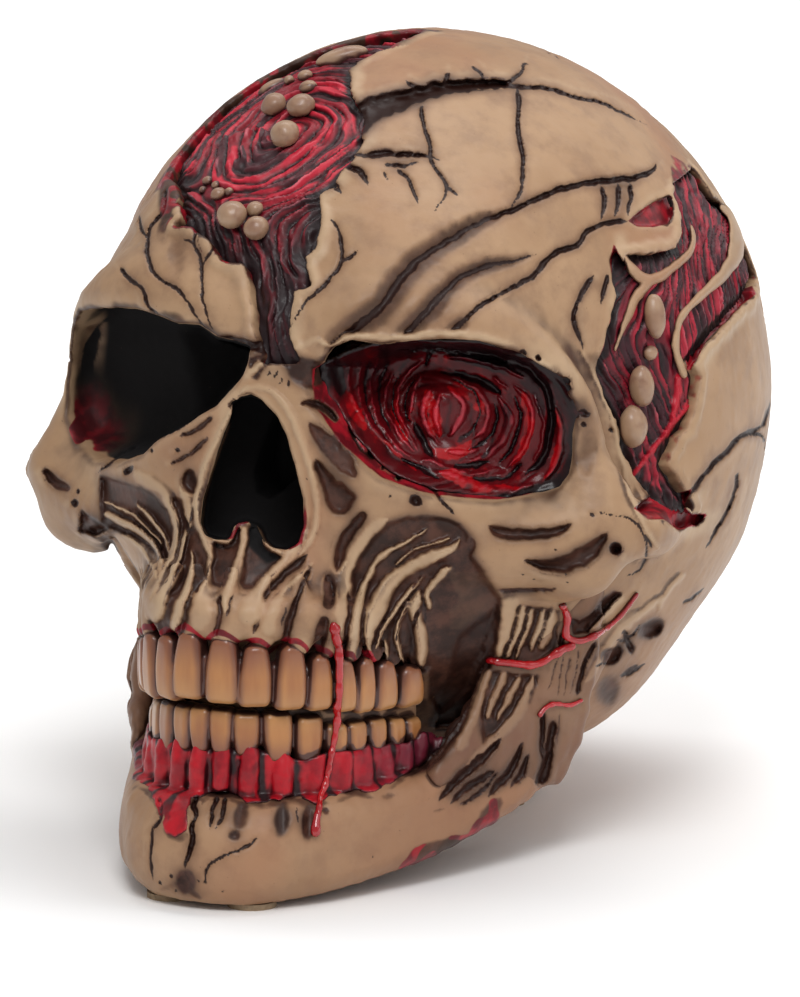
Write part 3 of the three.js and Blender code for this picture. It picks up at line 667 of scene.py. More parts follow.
def sockets(v):
    mo = Mask2(ORBIT, 0.4, 16)
    for side, fl, tap in ((1, -34.0, 0.06), (-1, -27.0, 0.10)):
        lo, hi = ((4, -80, 70), (70, -10, 122)) if side > 0 else ((-70, -80, 70), (-4, -10, 122))
        sl = v.box(lo, hi)
        X, Y, Z = v.grid(sl)
        x, z = np.abs(X) + 0 * Z, Z + 0 * X
        m = mo(x, z) - 0.3 + np.clip(Y + 36 + (58 - x) * 0.52, 0, 60) * tap
        floor = fl - (58 - x) * 0.25
        cut = smax(m + 0 * Y, Y - floor, 6.0)
        v.a[sl] = smax(v.a[sl], -cut.astype(np.float32), 1.6)
    prism(v, [(-x * 0.72, (z - 85) * 0.84) for x, z in NOSE], (0, -78, 86), (0, 1, 0.05), (0, 0, 1), 0, 38, taper=0.004, rnd=2, op="-", k=1.0)


def mandible(v):
    wall(v, spline([(-42, -16, 36, 5.5, 17), (-39, -30, 26, 6.5, 14), (-32.2, -47, 16, 6.2, 10), (-24.6, -64, 12.5, 6.0, 9.8), (-15, -79, 11.4, 7.2, 10.2), (0, -86, 11.4, 7.5, 10.2), (15, -79, 11.4, 7.2, 10.2), (24.6, -64, 12.5, 6.0, 9.8), (32.2, -47, 16, 6.2, 10), (39, -30, 26, 6.5, 14), (42, -16, 36, 5.5, 17)], 4), "+", 2, rnd=6)
    ell(v, (0, -85.5, 9.5), (17, 10, 9.5), "+", 6)
    both(lambda s: tube(v, spline(mx([(41, -22, 28, 7), (45, -13, 42, 8), (50, -6, 56, 8), (53, -4, 66, 7)], s), 4), "+", 5))


V = Vol((-78, -100, -3), (78, 101, 165), H)
cranium(V)
J = Vol((-64, -102, -3), (64, 8, 78), H)
mandible(J)
plane(V, (0, 0, -1), (0, 0, 1.5))
plane(J, (0, 0, -1), (0, 0, 1.5))
# outline of the whole object in the reference view
OUTLINE = [(409, 27), (436, 27), (474, 33), (513, 43), (565, 62), (600, 81), (635, 104), (672, 136), (715, 181), (735, 207), (749, 244), (761, 270), (770, 331), (775, 370), (775, 406), (769, 452), (759, 495), (743, 534), (726, 562), (677, 628), (637, 693), (559, 774), (553, 798), (531, 821), (488, 844), (447, 865), (397, 887), (325, 899), (262, 914), (220, 914), (206, 906), (147, 901), (125, 883), (121, 872), (117, 833), (138, 755), (134, 745), (136, 732), (131, 708), (137, 693), (130, 677), (132, 664), (143, 638), (149, 587), (114, 531), (103, 538), (102, 547), (93, 553), (73, 551), (55, 540), (47, 527), (41, 499), (29, 471), (29, 457), (52, 426), (64, 384), (71, 373), (74, 326), (83, 292), (132, 235), (143, 201), (168, 161), (226, 100), (254, 78), (329, 41), (380, 28)]
OUTER = Mask2(OUTLINE, 1.5, 75)


def trim(v, k=4.0, grow=1.5):
    """Fair the volume in to the outline."""
    Y, Z = v.ax[1][:, None], v.ax[2][None, :]
    for i, x in enumerate(v.ax[0]):
        u, w = cam.grid_proj(x, Y + 0 * Z, Z + 0 * Y)
        v.a[i] = smax(v.a[i], OUTER(u, w) / PX - grow, k)


trim(V)
trim(J, 3.0, 1.2)
log("volumes", V.a.shape, J.a.shape)
SMOOTH = Vol((-78, -100, -3), (78, 101, 165), H)
SMOOTH.a = V.a.copy()  # the cranium before anything is cut
sockets(V)

# guide walls where the teeth stand, so that what runs over them is found
GU = Vol((-40, -100, 10), (40, -20, 70), 0.9)
wall(GU, spline(full(UPPER), 6), "+", 0, rnd=1.5)
wall(GU, spline(full(LOWER), 6), "+", 0, rnd=1.5)
# dried muscle between cheekbone and jaw: strands, each from its top to its foot in the reference view
FRONT_EDGE = [(505, 600), (499, 650), (488, 690), (468, 730), (437, 776)]
BACK_EDGE = [(592, 588), (588, 640), (580, 690), (569, 735), (552, 772)]
TOPS = [(40.8, -35.0, 55.5), (54.5, -26, 59.5)]
FEET = [(34.5, -55.0, 21.5), (48.0, -23, 20.5)]


def view_depth(p):
    return float((np.array(p, float) - cam.C) @ -cam.back)


def muscle_volume(s, seed):
    """A sheet of dried muscle, laid down as a fan of thick strands."""
    r = np.random.RandomState(seed)
    lo = np.array([28, -66, 12.0])
    hi = np.array([64, -14, 68.0])
    if s < 0:
        lo[0], hi[0] = -64, -28
    m = Vol(lo, hi, HF)
    zt = [view_depth(p) for p in TOPS]
    zf = [view_depth(p) for p in FEET]
    A, B = resample(spline(FRONT_EDGE, 6), 7.0), resample(spline(BACK_EDGE, 6), 7.0)
    n = 26
    A = np.stack([np.interp(np.linspace(0, 1, n), np.linspace(0, 1, len(A)), A[:, i]) for i in (0, 1)], 1)
    B = np.stack([np.interp(np.linspace(0, 1, n), np.linspace(0, 1, len(B)), B[:, i]) for i in (0, 1)], 1)
    t = np.linspace(0, 1, n)
    for x in np.linspace(0, 1, 11):
        P = A * (1 - x) + B * x
        dep = (zt[0] * (1 - x) + zt[1] * x) * (1 - t) + (zf[0] * (1 - x) + zf[1] * x) * t
        dep = dep + 3.2 * np.sin(math.pi * t) + 2.4
        d = cam.rays(P)
        q = cam.C + d * (dep / (d @ -cam.back))[:, None]
        rad = (3.0 + 0.5 * t) * (1 + 0.06 * r.uniform(-1, 1, n)) * (1 - 0.25 * np.abs(2 * x - 1) ** 3)
        q[:, 0] *= s
        chain(m, np.column_stack([q, rad]), "+", 1.0, 3.0)
    return m


ML = muscle_volume(1, 5)
MR = muscle_volume(-1, 8)
trim(MR, 2.0, 0.8)
# bone behind the lower teeth
wall(J, spline(full([(0, -79.5, 31.5, 1.5, 8.2), (14.2, -72.0, 31.0, 1.5, 8.0), (21.2, -60.0, 29.5, 1.5, 7.6), (24.8, -46, 28.5, 1.5, 7.2)]), 5), "+", 0.5, rnd=1.2)
ALL = Union(V, J, GU, ML, MR)
log("base ready")


# ------------------------------------------------------------------ strokes, in the pixels of a view
def sheets(c, mirror):
    return [S if c is cam else HID[id(c)]] + ([M] if mirror else [])


def groove(c, uv, w=4.0, depth=0.8, w1=None, ends=(0.06, 0.3), mirror=False, dark=1.0, **kw):
    for s in sheets(c, mirror):
        s.stroke(uv, w, depth, w1=w1, ends=ends, dark=dark, **kw)


def hollow(uv, depth=1.6, wash=1.0, mirror=False, dark=0.0, ends=(0.1, 0.1), pw=2.6, red=0.0):
    """A wide carved hollow, darkened with wash and painted shade; each point is x, y, width."""
    for s in sheets(cam, mirror):
        s.stroke(uv, depth=depth, wash=wash, dark=dark, ends=ends, pw=pw, red=red)


def strand(uv, w=7.0, lift=0.35, w1=None, mirror=False, ends=(0.1, 0.1)):
    for s in sheets(cam, mirror):
        s.stroke(uv, w, w1=w1, lift=lift, ends=ends, dark=0, pw=2.2)


def pit(c, uv, rx, depth=1.5, mirror=False, ry=None, tilt=0, dark=1.0, wash=0.0, soft=0.25):
    for s in sheets(c, mirror):
        s.blob(uv[0], uv[1], rx, ry, tilt, depth, dark, wash, soft=soft)


def wander(c, start, ang, length, seed, w=4.0, depth=0.8, kids=1, curl=0.35):
    """A crack that wanders from a start point, with side branches."""
    r = np.random.RandomState(seed)
    P = [np.array(start, float)]
    a = math.radians(ang)
    n = max(4, int(length / 9))
    for i in range(n):
        a += r.uniform(-curl, curl)
        P.append(P[-1] + 9 * np.array([math.cos(a), -math.sin(a)]))
        if kids and i > 0 and r.rand() < 0.2:
            wander(c, P[-1], math.degrees(a) + r.choice([-1, 1]) * r.uniform(35, 75), length * 0.3, seed * 7 + i, w * 0.7, depth * 0.8, 0, curl)
    groove(c, P, w, depth, w1=w * 0.35, ends=(0.05, 0.3))


def zoomed(x0, y0, k):
    """Points noted on an enlarged part of the reference view."""
    return lambda pts: [(x0 + q[0] / k, y0 + q[1] / k) + tuple(t / k for t in q[2:]) for q in pts]


z0, z3, z4, z5, z6, z7 = zoomed(20, 280, 3.92), zoomed(560, 130, 3.647), zoomed(300, 320, 4.126), zoomed(100, 500, 4.356), zoomed(100, 660, 4.356), zoomed(360, 560, 4.356)
z1 = zoomed(120, 20, 4.612)
zc, zd, ze = zoomed(300, 480, 5), zoomed(100, 470, 7), zoomed(420, 590, 5)


# ---- openings as the reference view shows them
def view_cut(poly, w0, w1, rnd, k):
    prism(V, [((400 - x) / PX, (498.5 - y) / PX) for x, y in poly], cam.T, -cam.back, cam.up, w0, w1, rnd=rnd, op="-", k=k)


ORB_L = [(328, 361), (336, 350), (353, 344), (382, 349), (416, 345), (445, 343), (479, 345), (508, 355), (533, 367), (554, 383), (564, 402), (568, 422), (568, 456), (565, 475), (557, 487), (542, 491), (506, 496), (474, 492), (445, 487), (431, 482), (404, 470), (382, 451), (365, 429), (348, 405), (336, 388), (328, 376)]
ORB_R = [(62, 437), (81, 410), (80, 367), (84, 344), (96, 326), (107, 316), (122, 311), (142, 313), (163, 319), (183, 327), (204, 328), (221, 340), (239, 344), (255, 349), (253, 367), (244, 382), (232, 395), (221, 408), (204, 418), (178, 433), (153, 443), (127, 450), (104, 453), (81, 450), (68, 446)]
NOSE_V = [(244, 399), (234, 405), (232, 423), (221, 453), (214, 474), (207, 499), (204, 525), (209, 535), (221, 539), (232, 538), (239, 525), (250, 521), (260, 525), (267, 540), (275, 547), (290, 549), (301, 543), (306, 525), (306, 499), (298, 464), (290, 438), (280, 418), (265, 402), (255, 398)]
view_cut(ORB_L, -90, -56, 1.0, 0.8)
view_cut(ORB_R, -90, -24, 1.5, 1.2)
view_cut(NOSE_V, -90, -44, 1.0, 0.5)

# ---- upper jaw: tooth roots, then bone strands with dark hollows between them
ROOTS = [(4.0, -87.6, 56), (10.4, -84.6, 55), (16.2, -80, 54), (20.0, -75, 52.5), (23.0, -70, 51), (25.2, -65, 50), (27, -60, 48.5), (28.6, -53, 47)]
for s in (1, -1):
    for i, (x, y, z) in enumerate(ROOTS):
        r = 2.5 if i in (0, 2) else 2.1
        tube(V, np.array([[x * s, y + 1.6, z - 1, r], [x * s * 0.97, y + 2.6, z + 5, r * 0.9], [x * s * 0.93, y + 4.2, z + 11, r * 0.6]]), "+", 1.6, 4)
for P, d, m in (
    ([(862, 418, 16), (834, 520, 32), (804, 600, 34), (786, 690, 26)], 1.6, 1),
    ([(812, 468, 12), (792, 545, 12)], 0.8, 1),
    ([(985, 508, 20), (975, 560, 48), (958, 620, 50), (950, 692, 34)], 1.5, 1),
    ([(1078, 516, 14), (1066, 600, 20), (1054, 700, 18)], 1.2, 1),
    ([(1152, 486, 18), (1144, 570, 38), (1150, 664, 40)], 1.3, 1),
    ([(1212, 560, 18), (1198, 640, 22), (1212, 722, 16)], 1.1, 1),
    ([(1275, 590, 14), (1262, 690, 12)], 0.9, 1),
    ([(1336, 512, 18), (1312, 620, 24), (1292, 704, 18)], 1.2, 1),
):
    hollow(z5(P), d, mirror=bool(m))
for P, w in (
    ([(1100, 430), (1120, 560)], 8),
    ([(1420, 120), (1330, 180), (1262, 240)], 8),
    ([(1360, 560), (1352, 650), (1345, 720)], 9),
    ([(1410, 440), (1420, 560), (1412, 660)], 8),
    ([(1000, 340), (1018, 400), (1004, 460)], 8),
):
    groove(cam, z5(P), w / 4.356, 0.7)
# upper jaw and the hollow of the cheek: ground darkened with wash and painted shade first, bone strands over it, then
# the deep gaps
def ground(f, P, depth, wash, edge=5, soft=3.0, dark=0.0, mirror=True):
    for s_ in (S, M) if mirror else (S,):
        s_.area(f(P), edge, depth, wash=wash, dark=dark, soft=soft)


ground(zc, [(250, 560), (245, 470), (290, 380), (360, 280), (440, 210), (540, 175), (700, 180), (800, 215), (850, 270), (860, 370), (930, 470), (1010, 590), (980, 700), (940, 830), (900, 920), (860, 1050), (700, 1180), (640, 1100), (640, 960), (560, 980), (480, 930), (400, 930), (300, 900), (240, 900), (230, 760), (240, 650)], 1.3, 0.85, 6, 3.0)
ground(zd, [(0, 40), (150, 70), (300, 120), (420, 200), (470, 260), (520, 160), (560, 200), (650, 210), (650, 380), (700, 470), (780, 520), (790, 640), (770, 800), (700, 860), (640, 1000), (580, 1170), (440, 1180), (330, 1060), (350, 900), (420, 760), (440, 650), (350, 560), (250, 480), (130, 430), (0, 400)], 1.0, 0.8, 4, 3.0, mirror=False)
ground(zd, [(790, 500), (850, 520), (920, 480), (960, 400), (1000, 420), (980, 560), (940, 680), (900, 790), (840, 825), (790, 800), (760, 720), (790, 620)], 1.6, 1.0, 3, 2.0, 0.15)
ground(zd, [(1040, 400), (1110, 400), (1150, 500), (1190, 540), (1240, 580), (1300, 580), (1280, 640), (1230, 720), (1160, 790), (1080, 830), (1010, 840), (980, 800), (1000, 700), (1010, 560)], 1.6, 1.0, 4, 2.0, 0.1)
ground(zc, [(110, 10), (210, 10), (290, 80), (250, 150), (190, 170), (130, 110)], 1.6, 1.0, 4, 3.0, 0.2)
for f, P, d, m in (
    (zd, [(1460, 590, 40), (1350, 680, 70), (1250, 760, 70), (1170, 850, 60), (1120, 950, 60), (1100, 1050, 50), (1070, 1160, 36)], 1.2, 1),
    (zd, [(1480, 660, 16), (1420, 800, 40), (1370, 920, 50), (1330, 1050, 60), (1290, 1180, 50)], 1.2, 1),
    (zd, [(860, 860, 30), (840, 960, 40), (830, 1060, 44), (810, 1170, 36)], 1.0, 0),
    (zd, [(930, 870, 20), (900, 960, 24), (880, 1040, 10)], 0.7, 0),
    (zc, [(140, 480, 50), (150, 560, 70), (140, 640, 50)], 0.8, 1),
    (zc, [(120, 690, 50), (95, 780, 56), (90, 880, 46)], 1.2, 1),
    (zc, [(330, 160, 50), (290, 210, 60), (225, 300, 60), (195, 390, 58), (185, 460, 30)], 1.5, 1),
):
    hollow(f(P), d, mirror=bool(m))
for f, P, m in (
    (zd, [(230, 20, 90), (330, 80, 80), (440, 150, 60), (500, 260, 50), (535, 400, 50), (525, 540, 50), (470, 680, 40), (400, 800, 30), (350, 900, 30)], 0),
    (zd, [(560, 120, 24), (610, 230, 60), (620, 350, 36), (600, 480, 34), (560, 640, 60), (500, 760, 80), (440, 860, 90), (400, 960, 110), (380, 1060, 110)], 0),
    (zd, [(650, 560, 14), (640, 680, 26), (620, 800, 50), (570, 920, 60), (540, 1040, 66), (520, 1120, 70)], 0),
    (zd, [(740, 460, 60), (770, 580, 40), (760, 700, 30), (750, 780, 50), (720, 880, 110), (710, 1000, 120), (690, 1100, 130)], 0),
    (zd, [(250, 230, 20), (330, 310, 24), (410, 400, 24), (460, 500, 20), (480, 580, 16)], 0),
    (zd, [(20, 220, 16), (100, 250, 18), (200, 290, 16), (290, 360, 14), (380, 450, 12), (430, 540, 10)], 0),
    (zd, [(20, 300, 40), (130, 350, 50), (240, 400, 50), (330, 470, 40), (400, 560, 30), (430, 660, 24)], 0),
    (zd, [(150, 440, 20), (260, 520, 22), (350, 640, 20), (400, 760, 16)], 0),
    (zd, [(1010, 400, 50), (1000, 560, 50), (960, 680, 60), (910, 800, 60), (880, 900, 50), (870, 1000, 20)], 0),
    (zd, [(780, 470, 20), (850, 500, 26), (910, 500, 26), (960, 390, 28), (1030, 360, 34), (1110, 380, 28), (1150, 490, 26), (1190, 540, 28), (1280, 590, 34)], 0),
    (zd, [(1440, 420, 60), (1340, 570, 70), (1230, 710, 70), (1120, 830, 70), (1070, 940, 130), (1040, 1050, 150)], 1),
    (zd, [(1500, 640, 20), (1400, 740, 24), (1310, 830, 30), (1240, 930, 60), (1190, 1050, 80), (1170, 1150, 90)], 1),
    (zc, [(440, 190, 40), (350, 260, 50), (275, 360, 50), (228, 460, 50), (215, 560, 60), (205, 680, 50), (200, 760, 30)], 1),
    (zc, [(640, 240, 10), (560, 290, 14), (470, 340, 18), (400, 390, 24), (345, 480, 30), (300, 590, 44), (275, 720, 52), (255, 860, 56), (245, 910, 50)], 1),
    (zc, [(800, 290, 20), (780, 330, 30), (700, 370, 50), (600, 410, 56), (500, 470, 60), (430, 540, 66), (390, 640, 90), (350, 740, 60), (345, 830, 30), (360, 890, 24)], 1),
    (zc, [(760, 285, 9), (700, 310, 10), (620, 330, 10), (540, 370, 10), (480, 420, 9)], 1),
    (zc, [(620, 470, 16), (560, 540, 22), (500, 620, 18), (450, 700, 16), (400, 770, 12), (385, 850, 12)], 1),
    (zc, [(600, 560, 40), (570, 640, 50), (600, 740, 60), (610, 840, 56), (600, 930, 40)], 1),
    (zc, [(545, 600, 14), (510, 680, 18), (480, 760, 20), (490, 840, 16), (520, 930, 12)], 1),
    (zc, [(430, 800, 14), (440, 860, 18), (430, 920, 14)], 1),
    (zc, [(750, 430, 40), (690, 490, 36), (640, 560, 26), (644, 650, 24)], 1),
):
    for s_ in (S, M) if m else (S,):
        s_.stroke([q[:2] + (q[2] * 1.22,) for q in f(P)], lift=0.35, dark=0, pw=4.0, ends=(0.06, 0.06))
for s_ in (S, M):
    # the light plane behind the tooth row
    s_.a["wash"][450:500, 572:630] *= 0.72
for P, d, w in (
    ([(245, 560, 30), (240, 700, 22), (225, 820, 26), (220, 900, 16)], 1.1, 1),
    ([(310, 780, 30), (315, 850, 50), (300, 900, 30)], 1.1, 1),
    ([(620, 600, 14), (585, 680, 18), (555, 760, 22), (540, 830, 10)], 0.9, 1),
    ([(540, 620, 10), (500, 720, 12), (478, 800, 10)], 0.7, 0),
    ([(455, 640, 12), (400, 740, 16), (372, 830, 18), (372, 900, 10)], 0.9, 1),
    ([(520, 860, 14), (532, 930, 14)], 0.8, 0),
    ([(575, 880, 10), (570, 940, 10)], 0.7, 0),
    ([(860, 280, 36), (850, 360, 46), (760, 400, 36), (660, 440, 30), (600, 480, 26), (560, 540, 18)], 1.3, 1),
    ([(720, 520, 60), (735, 590, 110), (700, 640, 50)], 1.2, 1),
    ([(660, 780, 30), (700, 850, 60), (700, 930, 50), (660, 980, 20)], 1.2, 1),
):
    hollow(zc(P), d, mirror=True, dark=0.35, wash=1.0)
ground(zc, [(1000, 600), (940, 650), (860, 710), (790, 770), (760, 850), (740, 980), (700, 1060), (660, 1120), (700, 1200), (860, 1050), (900, 930), (960, 860), (940, 830), (1000, 700)], 2.4, 1.0, 8, 5.0, 0.5)
# right side of the face, seen directly
for P, d in (
    ([(95, 742, 30), (130, 788, 44), (192, 822, 30)], 1.5),
    ([(630, 612, 16), (692, 588, 24), (758, 532, 16)], 1.0),
    ([(588, 722, 12), (682, 672, 22), (742, 612, 14)], 1.0),
    ([(662, 752, 34), (668, 792, 72), (690, 830, 40)], 1.8),
    ([(688, 1050, 30), (702, 1130, 42), (690, 1225, 20)], 1.3),
    ([(600, 832, 10), (640, 922, 15), (660, 1012, 16), (640, 1100, 15), (598, 1180, 10)], 1.1),
    ([(690, 872, 10), (662, 955, 12)], 0.9),
    ([(1096, 486, 16), (1160, 488, 36), (1212, 520, 34), (1246, 556, 16)], 1.6),
    ([(1130, 556, 18), (1180, 612, 66), (1252, 692, 78), (1318, 770, 30)], 1.5),
    ([(1158, 700, 18), (1200, 782, 60), (1240, 862, 88), (1272, 912, 50)], 2.2),
):
    hollow(z0(P), d)
    M.stroke(z0(P), depth=d, wash=1.0, ends=(0.1, 0.1), pw=2.6, dark=0)
S.area(z0([(240, 900), (310, 948), (352, 978), (292, 1002), (232, 986)]), 3, 1.6, wash=1.0)
S.area(z0([(1005, 292), (1100, 298), (1182, 318), (1212, 400), (1150, 432), (1080, 404), (1040, 352)]), 4, 0.5, wash=0.85, soft=3.0)
S.area(z0([(905, 300), (960, 290), (975, 320), (930, 392), (890, 372)]), 3, 0.8, wash=0.9, dark=0.5, soft=2.5)
for P, w in (
    ([(1290, 568), (1302, 610), (1322, 645), (1348, 680), (1385, 692)], 18),
    ([(462, 652), (380, 700), (298, 762)], 10),
    ([(985, 345), (968, 376)], 9),
    ([(1008, 356), (994, 392)], 9),
    ([(1032, 372), (1020, 408)], 9),
    ([(1060, 388), (1050, 420)], 9),
    ([(1128, 786), (1142, 792), (1158, 778)], 9),
):
    groove(cam, z0(P), w / 3.92, 0.8)
for x, y, rx, ry, t in ((425, 745, 24, 13, -30), (215, 873, 17, 17, 0), (620, 665, 12, 9, 0), (520, 670, 8, 8, 0), (228, 826, 8, 8, 0), (1372, 692, 22, 15, 20), (1425, 740, 7, 7, 0), (1480, 775, 13, 11, 0), (1552, 862, 30, 17, 35), (1450, 850, 7, 5, 0)):
    pit(cam, (20 + x / 3.92, 280 + y / 3.92), rx / 3.92, 1.1, ry=ry / 3.92, tilt=t)

# ---- forehead and vault cracks of the reference view
for uv, w, d in (
    ([(168, 187), (163, 211), (152, 226), (148, 237), (147, 254), (152, 271), (165, 282), (183, 295), (192, 310), (202, 324), (213, 334)], 4.2, 0.9),
    ([(139, 215), (141, 230), (147, 239)], 3.2, 0.7),
    ([(120, 267), (129, 280), (142, 289), (146, 302), (152, 310), (161, 317)], 4.5, 0.9),
    ([(196, 230), (194, 243), (200, 254), (202, 269), (203, 300), (209, 321), (213, 332)], 3.6, 0.8),
    ([(183, 239), (194, 244)], 3.0, 0.6),
    ([(215, 245), (203, 265)], 3.4, 0.7),
    ([(330, 219), (339, 232), (341, 261), (326, 284), (306, 302), (291, 328)], 4.2, 0.9),
    ([(341, 261), (352, 256), (358, 250)], 4.0, 0.8),
    ([(345, 165), (361, 172), (368, 183)], 7.0, 1.2),
    ([(319, 187), (332, 185), (341, 194)], 8.0, 1.3),
    ([(405, 81), (419, 88)], 4.5, 0.9),
    ([(450, 72), (445, 81), (446, 93)], 4.0, 0.9),
    ([(471, 67), (481, 74), (483, 82)], 4.0, 0.9),
    ([(504, 84), (513, 79), (522, 72), (523, 64), (528, 64)], 4.0, 0.9),
    ([(424, 104), (421, 109), (423, 125), (429, 141), (430, 155), (435, 169), (444, 180), (447, 189), (442, 201), (435, 210)], 4.4, 0.9),
    ([(446, 187), (452, 191), (458, 196)], 3.4, 0.7),
    ([(384, 164), (400, 166), (419, 162)], 4.0, 0.8),
    ([(398, 169), (407, 178), (414, 191), (419, 204)], 4.4, 0.9),
    ([(384, 171), (388, 182)], 3.0, 0.7),
    ([(347, 166), (361, 175), (368, 185)], 4.0, 0.8),
    ([(517, 87), (519, 104), (517, 127), (521, 148), (523, 169), (522, 187), (515, 201), (510, 210)], 5.5, 1.0),
    ([(445, 337), (462, 322), (481, 306), (504, 292), (527, 279), (540, 270), (556, 253), (577, 244), (586, 233), (595, 228), (614, 221), (628, 221)], 5.0, 1.0),
    ([(602, 187), (605, 201), (602, 219)], 5.0, 1.0),
    ([(618, 185), (618, 203), (614, 216)], 5.0, 1.0),
    ([(631, 183), (630, 201), (628, 217)], 5.0, 1.0),
):
    groove(cam, uv, w, d, w1=w * 0.75)
groove(cam, [(350, 127, 26), (366, 113, 24), (389, 104, 20), (412, 96, 17), (435, 90, 15), (458, 86, 13), (481, 85, 11), (504, 84, 9)], depth=2.0, ends=(0, 0), jit=0.2, pw=2.4)
groove(cam, [(500, 84), (517, 87), (550, 89), (572, 96), (598, 102), (618, 111), (648, 125)], 5, 0.9, w1=3, ends=(0, 0.3))
groove(cam, [(354, 154), (370, 155), (389, 154), (407, 155), (423, 156), (442, 160)], 8, 1.3, w1=4, ends=(0.2, 0.4))
# folds over the left brow: a wide soft valley with painted shade along it and a dark core
for P, d in (
    ([(334, 352, 14), (346, 338, 15), (361, 324, 13), (380, 309, 12), (393, 292, 12), (405, 274, 12), (419, 260, 11), (439, 247, 10), (458, 235, 10), (476, 224, 10), (494, 217, 9), (513, 210, 8)], 2.0),
    ([(394, 348, 9), (412, 327, 10), (428, 311, 10), (444, 292, 9), (462, 276, 8), (485, 267, 7), (513, 261, 6), (538, 253, 5)], 1.5),
    ([(444, 342, 7), (455, 330, 8), (466, 320, 6)], 1.3),
):
    S.stroke([(x, y, w * 2.6) for x, y, w in P], depth=d * 0.75, dark=0, wash=0.45, ends=(0.05, 0.25), pw=1.3)
    S.stroke([(x, y, w * 0.72) for x, y, w in P], depth=d, dark=1.0, ends=(0.0, 0.3), pw=1.6)
groove(cam, [(494, 217), (513, 210), (531, 201), (550, 193), (572, 186), (595, 182), (614, 181), (637, 177), (653, 171), (657, 163)], 6, 1.3, w1=6, ends=(0, 0.12))
groove(cam, [(536, 271), (556, 253), (577, 244), (586, 233), (595, 228), (614, 221), (628, 221)], 6, 1.2, w1=5, ends=(0.1, 0.1))
S.blob(177, 250, 9, 30, 4, 0.5, wash=0.35, soft=0.9)
# notch between the brows, with painted shade in it
hollow([(222, 338, 8), (250, 345, 11), (275, 350, 12), (296, 350, 8)], 1.8, dark=0.8)
strand([(245, 378), (262, 362), (285, 354), (300, 345), (318, 340), (330, 346)], 9, lift=0.5)
strand([(330, 347), (353, 336), (382, 338), (416, 336), (445, 334), (479, 336), (508, 345), (533, 357), (558, 374)], 9, lift=0.5)
# rim of the nose opening
strand([(238, 396), (224, 425), (210, 455), (198, 490), (197, 520), (206, 545), (212, 560)], 7, lift=0.7)
strand([(238, 396), (252, 387), (268, 390), (284, 404), (298, 432), (310, 470), (316, 505), (314, 530), (300, 556)], 8, lift=0.7)
# ---- left cheek
groove(cam, z4([(472, 652), (540, 692), (592, 752), (636, 802)]), 3.0, 0.9, ends=(0.1, 0.1))
for P, d in (
    ([(770, 852, 26), (850, 882, 58), (960, 884, 46), (1060, 872, 42), (1125, 838, 20)], 1.9),
    ([(915, 988, 18), (1000, 1010, 44), (1100, 1004, 76), (1185, 962, 78), (1250, 902, 40), (1272, 872, 16)], 2.0),
    ([(700, 960, 40), (640, 985, 60), (560, 1015, 40)], 1.5),
    ([(1060, 1112, 14), (850, 1115, 18), (820, 1108, 10)], 0.5),
):
    hollow(z4(P), d, mirror=True, dark=0.25)
for x, y, rx, ry, d in ((1305, 945, 28, 28, 2.2), (920, 132, 17, 12, 1.0), (980, 156, 14, 11, 1.0), (1100, 250, 18, 18, 1.2), (1106, 282, 14, 12, 1.2), (1130, 388, 26, 12, 1.0), (1172, 384, 26, 14, 0.9), (1170, 432, 15, 12, 1.0), (1285, 456, 13, 12, 1.2), (402, 650, 17, 13, 1.2), (472, 752, 25, 17, 1.5), (1208, 806, 13, 9, 1.0), (918, 1055, 6, 5, 0.7), (1052, 946, 5, 5, 0.6), (1100, 1046, 6, 5, 0.6), (1104, 1080, 6, 5, 0.6), (963, 1068, 5, 5, 0.5)):
    pit(cam, (300 + x / 4.126, 320 + y / 4.126), rx / 4.126, d, ry=ry / 4.126, mirror=True, tilt=20)
for s_ in (S, M):
    s_.blob(587, 452, 11, 27, 5, 0.7, wash=0.42, soft=0.9)
    s_.blob(577, 408, 14, 12, 0, 0.2, wash=0.45, soft=0.9)
    s_.blob(520, 352, 20, 7, 15, 0.0, wash=0.3, soft=0.9)
groove(cam, z4([(1236, 800), (1332, 810), (1400, 858), (1430, 920), (1424, 980), (1390, 1036), (1332, 1052)]), 1.9, 0.5, mirror=True, ends=(0.1, 0.1))
groove(cam, z4([(1428, 880), (1452, 942)]), 2.6, 0.7, mirror=True)
# edge of the cheekbone towards the temple
strand([(583, 350), (598, 384), (614, 424), (623, 465), (631, 494), (645, 526), (661, 553)], 6, lift=0.4, mirror=True)
for s_ in (S, M):
    s_.stroke([(601, 352, 8), (612, 384, 14), (629, 424, 16), (642, 465, 16), (651, 494, 14), (664, 526, 10)], depth=1.8, wash=0.5, dark=0, pw=1.5, ends=(0.15, 0.15))
# dark hollow between the last teeth and the muscle: wash and painted shade
for s_ in (S, M):
    s_.area([(462, 640), (490, 616), (502, 604), (497, 650), (486, 690), (466, 728), (440, 762), (426, 772), (404, 776), (428, 742), (440, 700), (448, 670)], 6, 1.6, wash=1.0, dark=0.5, soft=5.0)
